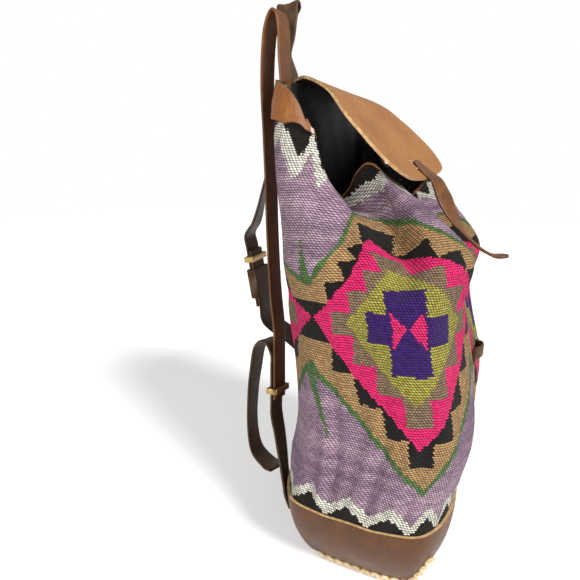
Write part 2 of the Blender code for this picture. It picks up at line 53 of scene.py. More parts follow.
# %% [markdown]
# A few small helpers come first. Colours are written as sRGB hex, as on a dyer's card, and one function
# turns them linear for the shader. One function adds a node, sets its options and links what feeds it, and
# the others make what every finish here needs: mixed colours, relief, a lighter or darker tone, and noise.

# %% Colour and node helpers
def linear(hex_colour):
    """An sRGB hex colour as linear red, green, blue and alpha."""
    parts = [int(hex_colour[k:k + 2], 16) / 255 for k in (1, 3, 5)]
    return [c / 12.92 if c <= 0.04045 else ((c + 0.055) / 1.055) ** 2.4 for c in parts] + [1.0]


def add(tree, kind, *sources, **settings):
    """Add a node. Sources feed inputs in order, or by name as (name, source); settings are properties."""
    node = tree.nodes.new(kind)
    for key, value in settings.items():
        setattr(node, key, value)
    for place, source in enumerate(sources):
        if source is None:
            continue
        if isinstance(source, tuple) and isinstance(source[0], str):
            place, source = source
        socket = node.inputs[place]
        if isinstance(source, bpy.types.Node):
            source = source.outputs[0]
        if isinstance(source, bpy.types.NodeSocket):
            tree.links.new(source, socket)
        else:
            socket.default_value = source
    return node


def new_material(name):
    """An empty material with its shader; returns the material, its tree and the Principled BSDF."""
    made = bpy.data.materials.new(name)
    made.use_nodes = True
    return made, made.node_tree, made.node_tree.nodes["Principled BSDF"]


def mixed(tree, share, under, over):
    """A mix of two colours; each is a hex colour or a socket."""
    mix = add(tree, "ShaderNodeMix", ("Factor", share), data_type="RGBA")
    for place, colour in ((6, under), (7, over)):
        if isinstance(colour, str):
            mix.inputs[place].default_value = linear(colour)
        else:
            tree.links.new(colour, mix.inputs[place])
    return mix.outputs[2]


def rough_surface(tree, shader, height, strength, distance):
    """Let a height stand out of the surface by up to the distance."""
    relief = add(tree, "ShaderNodeBump", ("Height", height), ("Strength", strength), ("Distance", distance))
    tree.links.new(relief.outputs[0], shader.inputs["Normal"])


def shaded(tree, shader, colour, factor):
    """Give the shader a colour made lighter or darker by a factor."""
    scaled = add(tree, "ShaderNodeVectorMath", colour, operation="SCALE")
    tree.links.new(factor, scaled.inputs["Scale"])
    tree.links.new(scaled.outputs[0], shader.inputs["Base Color"])


def noise(tree, place, scale, detail, **named):
    """A noise texture at a place, with its scale in cells for each metre."""
    others = [(name.capitalize(), value) for name, value in named.items()]
    return add(tree, "ShaderNodeTexNoise", place, ("Scale", scale), ("Detail", detail), *others)


# %% [markdown]
# The cloth is a tube that was sewn round a stiff base and then left to slump. Its shape is a loft through
# six rows, each with sixteen stations round the bag, joined by smooth curves. The same few numbers shape
# the solids of the frame; here they are read at many more places, so the folds are round.

# %% The bag's shape
BODY_WIDTH, BODY_DEPTH, BACK_HEIGHT = 0.265, 0.157, 0.443
BASE_HEIGHT, BASE_WIDTH, BASE_DEPTH = 0.070, 0.193, 0.087
FRONT_BOW, BACK_BOW, END_BOW = 0.019, 0.008, 0.002
CORNER_RADIUS, FRONT_SKEW = 0.050, 0.020
KILIM, LEATHER, STRAP, GAP = 3.4 * MM, 2.6 * MM, 2.8 * MM, 0.3 * MM
STRAP_EASE, LINING_EASE, LINING = 0.5 * MM, 0.8 * MM, 0.9 * MM
TUCK = 0.012
COLLAR_FROM, KILIM_TO = 0.895, 0.925
STATIONS = np.array([0.0, 0.10, 0.172, 0.215, 0.25, 0.285, 0.335, 0.40,
                     0.50, 0.60, 0.665, 0.715, 0.75, 0.785, 0.828, 0.90])
NEAR_BACK, NEAR_FRONT, FAR_FRONT, FAR_BACK = STATIONS[2], STATIONS[6], STATIONS[10], STATIONS[14]
BELLY_ROW = ((0.05, 0.99, 0.59), (-0.45, 1.01, 0.59), (-0.81, 0.92, 0.59), (-0.91, 0.50, 0.59),
             (-0.85, 0.08, 0.60), (-0.79, -0.33, 0.60), (-0.71, -0.79, 0.59), (-0.38, -1.00, 0.59),
             (0.08, -0.75, 0.55), (0.49, -0.84, 0.59), (0.80, -0.64, 0.59), (0.92, -0.25, 0.59),
             (0.92, 0.10, 0.59), (0.95, 0.50, 0.59), (0.88, 0.89, 0.59), (0.53, 1.01, 0.59))
SHOULDER_ROW = ((0.08, 1.07, 0.70), (-0.42, 1.10, 0.70), (-0.76, 1.03, 0.70), (-0.85, 0.59, 0.68),
                (-0.63, 0.25, 0.68), (-0.62, -0.20, 0.70), (-0.60, -0.59, 0.68), (-0.38, -0.64, 0.67),
                (0.09, -0.33, 0.64), (0.49, -0.50, 0.69), (0.75, -0.41, 0.69), (0.83, -0.08, 0.69),
                (0.77, 0.23, 0.68), (0.94, 0.56, 0.69), (0.90, 0.97, 0.70), (0.57, 1.10, 0.70))
MOUTH_ROW = ((0.10, 1.17, 0.998), (-0.38, 1.18, 0.998), (-0.68, 1.10, 0.972), (-0.69, 0.79, 0.86),
             (-0.41, 0.64, 0.75), (-0.49, 0.19, 0.80), (-0.47, -0.06, 0.77), (-0.33, -0.14, 0.75),
             (0.09, -0.05, 0.72), (0.49, -0.10, 0.755), (0.72, -0.04, 0.77), (0.72, 0.20, 0.80),
             (0.62, 0.51, 0.78), (0.86, 0.79, 0.88), (0.88, 1.08, 0.972), (0.55, 1.18, 0.998))
ROW_SHARES = np.array([0.0, 0.235, 0.47, 0.60, 0.71, 1.0])


def hermite(knots, values, at, closed=False):
    """A smooth curve through values at knots, read at the given places; a closed one has period 1."""
    values = np.asarray(values, float)
    at = np.atleast_1d(np.asarray(at, float))
    if closed:
        at = at % 1.0
        knots = np.concatenate([knots[-2:] - 1.0, knots, knots[:3] + 1.0])
        values = np.concatenate([values[-2:], values, values[:3]])
    slopes = np.zeros_like(values)
    slopes[1:-1] = (values[2:] - values[:-2]) / (knots[2:] - knots[:-2])[:, None]
    slopes[0] = (values[1] - values[0]) / (knots[1] - knots[0])
    slopes[-1] = (values[-1] - values[-2]) / (knots[-1] - knots[-2])
    i = np.clip(np.searchsorted(knots, at, side="right") - 1, 0, len(knots) - 2)
    step = (knots[i + 1] - knots[i])[:, None]
    s = (at - knots[i])[:, None] / step
    return ((2 * s**3 - 3 * s**2 + 1) * values[i] + (s**3 - 2 * s**2 + s) * step * slopes[i]
            + (3 * s**2 - 2 * s**3) * values[i + 1] + (s**3 - s**2) * step * slopes[i + 1])


def smooth_path(points, count):
    """The given points joined by a smooth curve, as count points evenly spaced in length."""
    points = np.asarray(points, float)
    knots = np.concatenate([[0.0], np.cumsum(np.linalg.norm(np.diff(points, axis=0), axis=1))])
    fine = hermite(knots, points, np.linspace(0, knots[-1], 12 * count))
    walked = np.concatenate([[0.0], np.cumsum(np.linalg.norm(np.diff(fine, axis=0), axis=1))])
    evenly = np.linspace(0, walked[-1], count)
    return np.stack([np.interp(evenly, walked, fine[:, k]) for k in range(3)], axis=1)


def rounded_row(half_width, back, front, radius, height):
    """The stations of one row on a rounded rectangle whose front slants back towards the far side."""
    half_depth = (back - front) / 2
    flat_x, flat_y = half_width - radius, half_depth - radius
    arc = pi * radius / 2
    half_round = 2 * (flat_x + flat_y + arc)
    near = []
    for way in STATIONS[1:8] * 2 * half_round:
        if way <= flat_x:
            x, y = way, half_depth
        elif way <= flat_x + arc:
            angle = (way - flat_x) / radius
            x, y = flat_x + radius * np.sin(angle), flat_y + radius * np.cos(angle)
        elif way <= flat_x + arc + 2 * flat_y:
            x, y = half_width, flat_x + arc + flat_y - way
        elif way <= half_round - flat_x:
            angle = (half_round - flat_x - way) / radius
            x, y = flat_x + radius * np.sin(angle), -flat_y - radius * np.cos(angle)
        else:
            x, y = half_round - way, -half_depth
        near.append((-x, y, height))
    far = [(-x, y, z) for x, y, z in reversed(near)]
    row = np.array([(0, half_depth, height)] + near + [(0, -half_depth, height)] + far)
    towards_front = np.clip(-row[:, 1] / half_depth, 0, 1)
    row[:, 1] += (back + front) / 2 + FRONT_SKEW * towards_front * (row[:, 0] / half_width + 1) / 2
    return row


def body_rows():
    half_width, half_depth = BODY_WIDTH / 2, BODY_DEPTH / 2
    rise = BACK_HEIGHT - BASE_HEIGHT
    lower = ((1.0, 0.98, -1.02, 0.0), (0.98, 0.79, -1.17, 0.228), (0.95, 0.92, -0.96, 0.469))
    rounded = [rounded_row(wide * half_width, back * half_depth, front * half_depth, CORNER_RADIUS,
                           BASE_HEIGHT + high * rise) for wide, back, front, high in lower]
    size = (half_width, half_depth, rise)
    upper = [np.array(row) * size + (0, 0, BASE_HEIGHT) for row in (BELLY_ROW, SHOULDER_ROW, MOUTH_ROW)]
    return np.array(rounded + upper)


def body_points(around, up):
    """The body's reference surface: a grid of points at shares of the way round and of the way up."""
    rows = body_rows()
    columns = np.array([hermite(STATIONS, row, around, closed=True) for row in rows])
    flat = columns.reshape(len(rows), -1)
    return hermite(ROW_SHARES, flat, up).reshape(len(up), len(around), 3)


def base_outline(around):
    """The base's bottom edge: four bowed sides between sharp corners."""
    x, y = BASE_WIDTH / 2, BASE_DEPTH / 2
    sides = ((NEAR_BACK, NEAR_FRONT, (-x, y), (-x, -y), (-END_BOW, 0)),
             (NEAR_FRONT, FAR_FRONT, (-x, -y), (x, -y), (0, -FRONT_BOW)),
             (FAR_FRONT, FAR_BACK, (x, -y), (x, y), (END_BOW, 0)),
             (FAR_BACK, NEAR_BACK + 1, (x, y), (-x, y), (0, BACK_BOW)))
    outline = []
    for place in np.asarray(around) % 1.0:
        place = place + 1 if place < NEAR_BACK - 1e-9 else place
        for start, end, corner, other, bow in sides:
            if place <= end + 1e-9:
                break
        t = (place - start) / (end - start)
        swell = 4 * t * (1 - t)
        outline.append([corner[k] + (other[k] - corner[k]) * t + bow[k] * swell for k in (0, 1)] + [0.0])
    return np.array(outline)


def base_points(around, up):
    """The base's flaring wall, from its bottom edge at 0 to the seam at 1."""
    bottom = base_outline(around)
    seam = body_points(around, [0.0])[0]
    grid = []
    for share in up:
        row = bottom + (seam - bottom) * np.sin(share * pi / 2) ** 0.85
        row[:, 2] = share * BASE_HEIGHT
        grid.append(row)
    return np.array(grid)


def normals(grid, wraps):
    """Outward unit normals of a grid whose columns run on round the bag and whose rows run upwards."""
    if wraps:
        along = np.roll(grid, -1, axis=1) - np.roll(grid, 1, axis=1)
    else:
        along = np.gradient(grid, axis=1)
    out = np.cross(along, np.gradient(grid, axis=0))
    return out / np.linalg.norm(out, axis=2, keepdims=True)


# %% [markdown]
# Sheet goods are all made one way: a grid for the outer face, a grid for the inner face, and a rim that
# joins them. Each corner of a face also gets a UV in metres of flat material, so that weave and grain keep
# their real size. The rim can have a finish of its own, because cut leather is paler than its face.

# %% Sheets from grids
def finish_object(name, mesh, body, replaced=(), materials=()):
    """Put a mesh in the scene as a piece of the bag: what it rides on and what it replaces."""
    for made in materials:
        mesh.materials.append(made)
    obj = bpy.data.objects.new(name, mesh)
    bpy.context.scene.collection.objects.link(obj)
    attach(obj, body)
    if replaced:
        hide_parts(*replaced)
    return obj


def sheet_mesh(name, outer, inner, layers, wraps, rim_index=1, inner_index=0, inner_rows=None):
    """A closed sheet between two grids; where they wrap, each UV layer has one more column."""
    rows, columns, _ = outer.shape
    picked = np.arange(rows) if inner_rows is None else inner_rows
    verts = np.concatenate([outer.reshape(-1, 3), inner[picked].reshape(-1, 3)])
    faces, corners, indexes = [], [], []
    spans = columns if wraps else columns - 1
    last, end = rows - 1, len(picked) - 1

    def face(index, *ring):
        """Each corner is a row and column for the flat place, and its row on the inner side or None."""
        faces.append(tuple((j if k is None else rows + k) * columns + i % columns for j, i, k in ring))
        corners.extend((j, i) for j, i, _ in ring)
        indexes.append(index)

    for i in range(spans):
        for j in range(last):
            face(0, (j, i, None), (j, i + 1, None), (j + 1, i + 1, None), (j + 1, i, None))
        for k in range(end):
            a, b = picked[k], picked[k + 1]
            face(inner_index, (b, i, k + 1), (b, i + 1, k + 1), (a, i + 1, k), (a, i, k))
        face(rim_index, (0, i + 1, None), (0, i, None), (0, i, 0), (0, i + 1, 0))
        face(rim_index, (last, i, None), (last, i + 1, None), (last, i + 1, end), (last, i, end))
    if not wraps:
        for j in range(last):
            for i in (0, columns - 1):
                ring = [(j, i, None), (j + 1, i, None), (j + 1, i, j + 1), (j, i, j)]
                face(rim_index, *(ring[::-1] if i else ring))
    mesh = bpy.data.meshes.new(name)
    mesh.from_pydata([tuple(v) for v in verts], [], faces)
    corners = np.array(corners)
    for layer, places in layers.items():
        mesh.uv_layers.new(name=layer)
        at_corners = places[corners[:, 0], corners[:, 1]].astype(np.float32)
        mesh.uv_layers[layer].data.foreach_set("uv", at_corners.ravel())
    mesh.polygons.foreach_set("material_index", np.array(indexes, dtype=np.int32))
    mesh.shade_smooth()
    mesh.set_sharp_from_angle(angle=radians(50))
    return mesh


def flat_uv(u, v):
    """A grid of flat places from the places along and up."""
    return np.stack(np.meshgrid(u, v), axis=2)


# %% [markdown]
# The leather was tanned with bark, oiled and handled. It has a fine pebble grain, broad uneven tones from
# the hide, darker rubbed patches and thin scratches. Grain of 0.8 mm would hardly show at this distance, so
# it is drawn at 1.5 mm. The cut edge is pale, fibrous and dull.

# %% Leather finishes
GRAIN = 1.5 * MM


def leather(name, face, dark, light, roughness, wear=0.5):
    """Bark-tanned leather, brushed with oil: three tones of one hide, with pebble grain and scratches."""
    made, tree, shader = new_material(name)
    place = add(tree, "ShaderNodeTexCoord").outputs["Object"]
    broad = noise(tree, place, 22.0, 5.0, roughness=0.6)
    blotch = noise(tree, place, 75.0, 6.0, roughness=0.65)
    long_way = add(tree, "ShaderNodeMapping", place, ("Scale", (1.0, 1.0, 0.12)))
    fibres = noise(tree, long_way, 420.0, 3.0)
    tone = add(tree, "ShaderNodeMath", broad, 0.28, operation="SUBTRACT")
    tone = add(tree, "ShaderNodeMath", tone, 2.0, operation="MULTIPLY", use_clamp=True)
    lift = add(tree, "ShaderNodeMapRange", blotch, 0.48, 0.75, 0.0, wear)
    streak = add(tree, "ShaderNodeMapRange", fibres, 0.35, 0.65, 0.88, 1.06)
    shaded(tree, shader, mixed(tree, lift, mixed(tree, tone, dark, face), light), streak.outputs[0])
    grain = add(tree, "ShaderNodeTexVoronoi", place, ("Scale", 1 / GRAIN), feature="SMOOTH_F1")
    height = add(tree, "ShaderNodeMath", grain, blotch, operation="ADD")
    rough_surface(tree, shader, height, 0.28, 0.4 * MM)
    gloss = add(tree, "ShaderNodeMapRange", blotch, 0.3, 0.7, roughness - 0.08, roughness + 0.12)
    tree.links.new(gloss.outputs[0], shader.inputs["Roughness"])
    shader.inputs["Specular IOR Level"].default_value = 0.45
    return made


def cut_edge(name, tone, dark):
    """The raw edge of cut leather: pale fibres, dull, with darker spots where it was handled."""
    made, tree, shader = new_material(name)
    place = add(tree, "ShaderNodeTexCoord").outputs["Object"]
    spots = noise(tree, place, 260.0, 4.0)
    share = add(tree, "ShaderNodeMapRange", spots, 0.4, 0.62)
    tree.links.new(mixed(tree, share, tone, dark), shader.inputs["Base Color"])
    rough_surface(tree, shader, spots, 0.5, 0.5 * MM)
    shader.inputs["Roughness"].default_value = 0.85
    return made


base_leather = leather("brown_base_leather", "#603815", "#4A2809", "#7C4E22", 0.42)
flap_leather = leather("tan_flap_leather", "#A87038", "#925C29", "#B9834A", 0.5)
collar_leather = leather("burnished_collar_leather", "#9A602F", "#7A4820", "#B67C44", 0.3)
strap_leather = leather("brown_strap_leather", "#553819", "#35210E", "#72502A", 0.42)
tan_strap_leather = leather("tan_strap_leather", "#74441B", "#502F12", "#93602E", 0.42)
flesh_side = leather("leather_flesh_side", "#3A2A1E", "#241810", "#4C392A", 0.75, wear=0.2)
pale_edge = cut_edge("pale_cut_edge", "#CDAA78", "#B28A5A")
brown_edge = cut_edge("brown_cut_edge", "#7A5434", "#4A3020")
print("leather finishes made")

# %% [markdown]
# The kilim is the heart of the piece: wool weft packed over cotton warp, whose stitches lie as slanted
# beads about 2.6 mm wide and 2.1 mm high, each row shifted by half a bead. Its diamonds are made of beads,
# so every slanting edge is a small stair. The shader works the same way: it finds the bead that a point
# lies in, and asks the pattern for one colour at the bead's middle. The pattern itself is arithmetic on the
# flat place in metres: distances to a diamond's middle, compared with the sizes of each band.

# %% Kilim weave and its diamonds
BEAD_WIDE, BEAD_HIGH = 2.6 * MM, 2.1 * MM
ROUND = 0.75                    # the cloth's way round, in metres
PERIOD = ROUND / 4              # one diamond
MIDDLE = 0.303                  # the near diamond's middle, as a share of the way round
MIDDLE_V = 0.177                # its height over the seam
CLOTH_HIGH = 0.354
STEP_WIDE = PERIOD / 9          # one stair of the black and taupe bands
GREEN_TO, CAMEL_TO, PINK_TO = 0.1385, 0.1310, 0.0950    # how far each band reaches from the middle
BLACK_TOP, TAUPE_TOP = 0.1105, 0.0755                   # the stepped bands' height over the middle
BLACK_STEP, TAUPE_STEP = 0.0228, 0.0215                 # and how much lower each stair is
LIME_HIGH, LIME_WIDE = 0.060, 0.059
CROSS_LONG, CROSS_WIDE, BAR_LONG, BAR_HIGH = 0.0365, 0.0160, 0.0375, 0.0135
GREEN, BLACK = "#557640", "#16120F"


def kilim_material():
    made, tree, shader = new_material("woven_kilim_wool")

    def calc(operation, a, b=0.0, c=0.0, clamp=False):
        return add(tree, "ShaderNodeMath", a, b, c, operation=operation, use_clamp=clamp).outputs[0]

    flat = add(tree, "ShaderNodeUVMap", uv_map="flat")
    dyed = add(tree, "ShaderNodeSeparateXYZ", add(tree, "ShaderNodeUVMap", uv_map="dyed"))
    split = add(tree, "ShaderNodeSeparateXYZ", flat)
    u, v = split.outputs[0], split.outputs[1]
    row = calc("FLOOR", calc("DIVIDE", v, BEAD_HIGH))
    shift = calc("MULTIPLY", calc("MODULO", row, 2.0), 0.5)
    along = calc("ADD", calc("DIVIDE", u, BEAD_WIDE), shift)
    column = calc("FLOOR", along)
    to_middle_u = calc("MULTIPLY", calc("SUBTRACT", calc("ADD", column, 0.5), along), BEAD_WIDE)
    to_middle_v = calc("SUBTRACT", calc("MULTIPLY", calc("ADD", row, 0.5), BEAD_HIGH), v)
    cell_u = calc("ADD", calc("ADD", dyed.outputs[0], to_middle_u), 4 * PERIOD)
    cell_v = calc("ADD", dyed.outputs[1], to_middle_v)
    across = calc("PINGPONG", cell_u, PERIOD / 2)
    high = calc("ABSOLUTE", calc("SUBTRACT", cell_v, MIDDLE_V))
    slant = calc("ADD", high, calc("MULTIPLY", across, 1.013))
    stair = calc("FLOOR", calc("ADD", calc("DIVIDE", across, STEP_WIDE), 0.5))
    black_top = calc("MULTIPLY_ADD", stair, -BLACK_STEP, BLACK_TOP)
    taupe_top = calc("MULTIPLY_ADD", stair, -TAUPE_STEP, TAUPE_TOP)
    to_joint = calc("SUBTRACT", PERIOD / 2, across)
    edge = calc("MINIMUM", cell_v, calc("SUBTRACT", CLOTH_HIGH, cell_v))
    teeth = calc("MULTIPLY", calc("PINGPONG", calc("ADD", cell_u, 0.004), PERIOD / 10), 0.9)

    def below(value, limit):
        return calc("LESS_THAN", value, limit)

    def both(a, b):
        return calc("MULTIPLY", a, b)

    spike_wide = calc("MULTIPLY", calc("SUBTRACT", 0.106, high), 0.075)
    lime_sum = calc("ADD", calc("DIVIDE", high, LIME_HIGH), calc("DIVIDE", across, LIME_WIDE))
    upright = both(below(across, CROSS_WIDE), below(high, CROSS_LONG))
    bar = both(below(across, BAR_LONG), below(high, BAR_HIGH))
    bow = both(below(across, 0.0132), below(high, calc("MULTIPLY", across, 1.25)))

    dye = noise(tree, flat, 9.0, 3.0)
    bands = add(tree, "ShaderNodeMapping", flat, ("Scale", (1.0, 14.0, 1.0)))
    abrash = add(tree, "ShaderNodeMapRange", noise(tree, bands, 5.0, 3.0), 0.38, 0.62)
    faded = add(tree, "ShaderNodeMapRange", dye, 0.52, 0.75, 0.0, 0.7)
    colour = mixed(tree, faded, mixed(tree, abrash, "#8C7088", "#B799AA"), "#A8958C")
    for dyed_wool, where in (
            (GREEN, below(to_joint, spike_wide)),
            (GREEN, below(slant, GREEN_TO)),
            ("#B28C5E", below(slant, CAMEL_TO)),
            (BLACK, below(high, black_top)),
            ("#EC246E", below(slant, PINK_TO)),
            ("#877058", both(below(high, taupe_top), below(across, 3.5 * STEP_WIDE))),
            ("#A39A44", below(lime_sum, 1.0)),
            ("#3B1A66", calc("MAXIMUM", upright, bar)),
            ("#E62A6C", bow),
            ("#DEDACB", below(edge, calc("ADD", teeth, 0.0095))),
            ("#17130F", below(edge, calc("SUBTRACT", teeth, 0.001)))):
        colour = mixed(tree, where, colour, dyed_wool)

    # Each bead: its own tone, painted shade that darkens it towards the gap round it and a painted lift at
    # its middle, and a slanting rounded height
    bead_id = add(tree, "ShaderNodeCombineXYZ", column, row)
    shade = add(tree, "ShaderNodeTexWhiteNoise", bead_id, noise_dimensions="2D").outputs[0]
    in_u = calc("SUBTRACT", calc("FRACT", along), 0.5)
    in_v = calc("SUBTRACT", calc("FRACT", calc("DIVIDE", v, BEAD_HIGH)), 0.5)
    lean = calc("ADD", in_u, calc("MULTIPLY", in_v, 0.45))
    away = calc("ADD", calc("MULTIPLY", calc("POWER", calc("ABSOLUTE", lean), 2.0), 2.6),
                calc("MULTIPLY", calc("POWER", calc("ABSOLUTE", in_v), 2.0), 3.4))
    bead = calc("SUBTRACT", 1.0, away, clamp=True)
    wool = noise(tree, flat, 1500.0, 2.0)
    # Painted shade and light: the colour follows the bead's height, dark in the gaps and a little brighter
    # at the middle
    painted_bead_shade = add(tree, "ShaderNodeMapRange", bead, 0.2, 0.8, 0.26, 1.1)
    lit = calc("MULTIPLY", painted_bead_shade.outputs[0], calc("MULTIPLY_ADD", shade, 0.50, 0.76))
    lit = calc("MULTIPLY", lit, calc("MULTIPLY_ADD", dye.outputs[0], 0.3, 0.87))
    shaded(tree, shader, colour, lit)
    fuzz = calc("ADD", bead, calc("MULTIPLY", wool.outputs[0], 0.35))
    rough_surface(tree, shader, fuzz, 0.9, 1.3 * MM)
    shader.inputs["Roughness"].default_value = 0.92
    shader.inputs["Specular IOR Level"].default_value = 0.2
    shader.inputs["Sheen Weight"].default_value = 0.05
    shader.inputs["Sheen Roughness"].default_value = 0.5
    return made


woven_wool = kilim_material()

# %% [markdown]
# Wool pulled in at a stiff seam stands in small pleats that die out upwards, and a slumped side keeps soft
# dents. These are added to the loft along its normals: waves round the bag whose height fades with the
# distance from the seam, and a few longer waves higher up.

# %% Kilim body
ROUND_COUNT, UP_COUNT = 440, 160
YOKE_SEAM, YOKE_LEVEL, YOKE_END = 0.92, 0.175, 0.214
V_SHARES = (-0.03, 0.0, 0.235, 0.47, 0.60, 0.635, 0.745, 1.0)
V_PLACES = (-0.012, 0.0, 0.088, 0.177, 0.243, 0.272, 0.3155, CLOTH_HIGH)
# Where the cloth was pulled in the slump: for heights on the cloth, the places across of the left joint of
# the near diamond, of its middle and of its right joint, in metres from where an even cloth has its middle
PULL_V = (0.0385, 0.082, 0.130, 0.177, 0.225, 0.260, 0.3155)
LEFT_JOINT = (-0.074, -0.074, -0.090, -0.080, -0.0735, -0.0735, -0.0735)
MIDDLE_LINE = (0.0137, 0.003, 0.002, 0.003, -0.014, -0.029, -0.036)
RIGHT_JOINT = (0.094, 0.096, 0.104, 0.112, 0.098, 0.092, 0.090)
# How far the near back edge is pushed out, in millimetres, at shares of the way up
BACK_EDGE_UP = (0, 0.1, 0.235, 0.35, 0.47, 0.54, 0.60, 0.71, 0.81, 0.895, 0.95, 1)
BACK_EDGE_OUT = (0, 6, 8, 9, 11, 8, 3, 2, 6, 9, 8, 3)
# Creases over the base: each one's height in millimetres, its place round the bag, its lean and its reach
LOW_CREASES = ((4.2, 0.212, -0.05, 0.007), (-3.6, 0.226, -0.05, 0.007), (3.4, 0.250, 0.03, 0.008),
               (-3.0, 0.265, 0.03, 0.007), (2.6, 0.292, 0.04, 0.008), (-2.0, 0.306, 0.04, 0.007))


def yoke_seam(u):
    """How high the cloth reaches before the yoke covers it, as a share of the way up."""
    return np.interp(np.minimum(u % 1.0, 1 - u % 1.0), (YOKE_LEVEL, YOKE_END), (YOKE_SEAM, 1.0))


def dyed_places(u, up):
    """Where the pattern lies: across from the near diamond's middle, and up from the seam, in metres."""
    u, up = np.meshgrid(u, up)
    free = V_SHARES[-2]
    raised = np.where(up > free, free + (up - free) * (1 - free) / (yoke_seam(u) - free), up)
    high = np.interp(raised, V_SHARES, V_PLACES)
    right_side = np.clip((u - 0.28) / 0.06, 0, 1) * np.clip((0.50 - u) / 0.06, 0, 1)
    high += right_side * np.interp(up, (0.5, 0.6, 0.635, 0.70, 1.0), (0, -0.018, -0.028, -0.018, 0))
    even = (u - MIDDLE) * ROUND
    pulled = [np.interp(high, PULL_V, line) for line in (LEFT_JOINT, MIDDLE_LINE, RIGHT_JOINT)]
    knots = [np.full_like(even, -PERIOD), *pulled, np.full_like(even, PERIOD)]
    across = even.copy()
    for k in range(4):
        share = (even - knots[k]) / (knots[k + 1] - knots[k])
        across = np.where((share >= 0) & (share <= 1), (k - 2 + share) * PERIOD / 2, across)
    return np.stack([across, high], axis=2)


def bump(x, middle, reach):
    return np.exp(-((x - middle) / reach) ** 2)


def folds(u, up):
    """How far the cloth stands out of the loft, in metres: pleats, dents, creases and the wing's fold."""
    v = np.interp(up, V_SHARES, V_PLACES)
    near_seam = np.clip(v / 0.02, 0, 1) * np.exp(-np.clip(v - 0.015, 0, None) / 0.055)
    pleats = (np.sin(2 * pi * 17 * u + 1.0 + 9 * v) + 0.7 * np.sin(2 * pi * 29 * u + 0.4 - 8 * v)
              + 0.5 * np.sin(2 * pi * 47 * u + 2.2))
    free = np.clip(v / 0.05, 0, 1) * np.clip((1.0 - up) / 0.2, 0, 1)
    dents = np.sin(2 * pi * 5 * u + 21 * v) * np.sin(2 * pi * 3 * u - 33 * v + 1.7)
    ripples = np.sin(2 * pi * 13 * u + 60 * v + np.sin(40 * v))
    back_edge = bump(u, 0.125, 0.038) * np.interp(up, BACK_EDGE_UP, BACK_EDGE_OUT) * MM
    fold_line = np.interp(up, (0.60, 0.70, 0.86, 0.93, 1.0), (0.264, 0.247, 0.231, 0.222, 0.218))
    fold_size = np.interp(up, (0.52, 0.63, 0.8, 1.0), (0, 1, 1, 0.8))
    wing = fold_size * (9 * bump(u, fold_line, 0.011) - 20 * bump(u, fold_line + 0.031, 0.017)) * MM
    creases = sum(size * bump(u, middle + lean * up, reach) for size, middle, lean, reach in LOW_CREASES)
    low_creases = np.interp(up, (0, 0.05, 0.2, 0.4), (0, 1, 0.8, 0)) * creases * MM
    return (near_seam * pleats * 0.0011 + free * (dents * 0.0018 + ripples * 0.0004)
            + back_edge + wing + low_creases)


def draped(u, up):
    """The slumped cloth's outer face over the loft, and its normals."""
    points = body_points(u, up)
    out = normals(points, wraps=True)
    points = points + out * folds(u[None, :], up[:, None])[:, :, None]
    forward = bump(u[None, :], 0.190, 0.027) * np.clip((up[:, None] - 0.82) / 0.12, 0, 1)
    points = points + forward[:, :, None] * np.array([0.005, -0.010, 0.0])
    far_rim = bump(u[None, :], 0.70, 0.075) * np.clip((up[:, None] - 0.78) / 0.2, 0, 1) ** 1.5
    points = points + far_rim[:, :, None] * np.array([0.0, 0.0, 0.015])
    return points, normals(points, wraps=True)


around = np.linspace(0, 1, ROUND_COUNT, endpoint=False)
body_up = np.linspace(0, 1.0, UP_COUNT)
tuck_up = np.linspace(1 - TUCK / BASE_HEIGHT, 1, 5)[:-1]
upper, _ = draped(around, body_up)
grid = np.concatenate([base_points(around, tuck_up), upper])
out = normals(grid, wraps=True)
dyed = dyed_places(np.append(around, 1.0), np.concatenate([np.linspace(V_SHARES[0], 0, 5)[:-1], body_up]))
walked = np.cumsum(np.linalg.norm(np.diff(grid, axis=0, prepend=grid[:1]), axis=2), axis=0)
walked = np.concatenate([walked, walked[:, :1]], axis=1)
flat = np.stack([np.broadcast_to(np.append(around, 1.0) * ROUND, walked.shape), walked], axis=2)
inner_rows = np.unique(np.append(np.arange(0, len(grid), 8), len(grid) - 1))
mesh = sheet_mesh("woven_body", grid, grid - out * KILIM, {"flat": flat, "dyed": dyed}, True,
                  rim_index=0, inner_rows=inner_rows)
woven_body = finish_object("woven_body", mesh, BAG, ["kilim_body"], [woven_wool])
print("woven body", len(mesh.polygons), "faces")

# %% [markdown]
# The lining is black cotton with a slight shine. It hangs a little slack inside the wool, in soft upright
# waves that catch the light at the mouth.

# %% Lining
def lining_material():
    made, tree, shader = new_material("black_cotton_lining")
    place = add(tree, "ShaderNodeTexCoord").outputs["Object"]
    waves = noise(tree, place, 26.0, 4.0, distortion=0.6)
    height = add(tree, "ShaderNodeMath", waves, noise(tree, place, 900.0, 1.0), operation="ADD")
    rough_surface(tree, shader, height, 0.5, 4.0 * MM)
    # Painted shade and light: the colour is darker in the waves' hollows and lighter on their crests
    tree.links.new(mixed(tree, waves, "#0C0A0B", "#191516"), shader.inputs["Base Color"])
    shader.inputs["Roughness"].default_value = 0.38
    return made


lining_around, lining_up = np.linspace(0, 1, 260, endpoint=False), np.linspace(0.02, 1.0, 70)
face, face_out = draped(lining_around, lining_up)
slack = np.sin(2 * pi * 9 * lining_around[None, :] + 9 * lining_up[:, None]) + np.sin(
    2 * pi * 14 * lining_around[None, :] - 16 * lining_up[:, None])
slack = (1.1 * (slack + 2) * np.clip((1 - lining_up[:, None]) / 0.1, 0, 1) * MM)[:, :, None]
outer = face - face_out * (KILIM + LINING_EASE + slack)
flat = flat_uv(np.append(lining_around, 1.0) * ROUND, lining_up * CLOTH_HIGH)
mesh = sheet_mesh("cotton_lining", outer, outer - face_out * LINING, {"flat": flat}, True)
cotton_lining = finish_object("cotton_lining", mesh, BAG, ["lining"], [lining_material()])

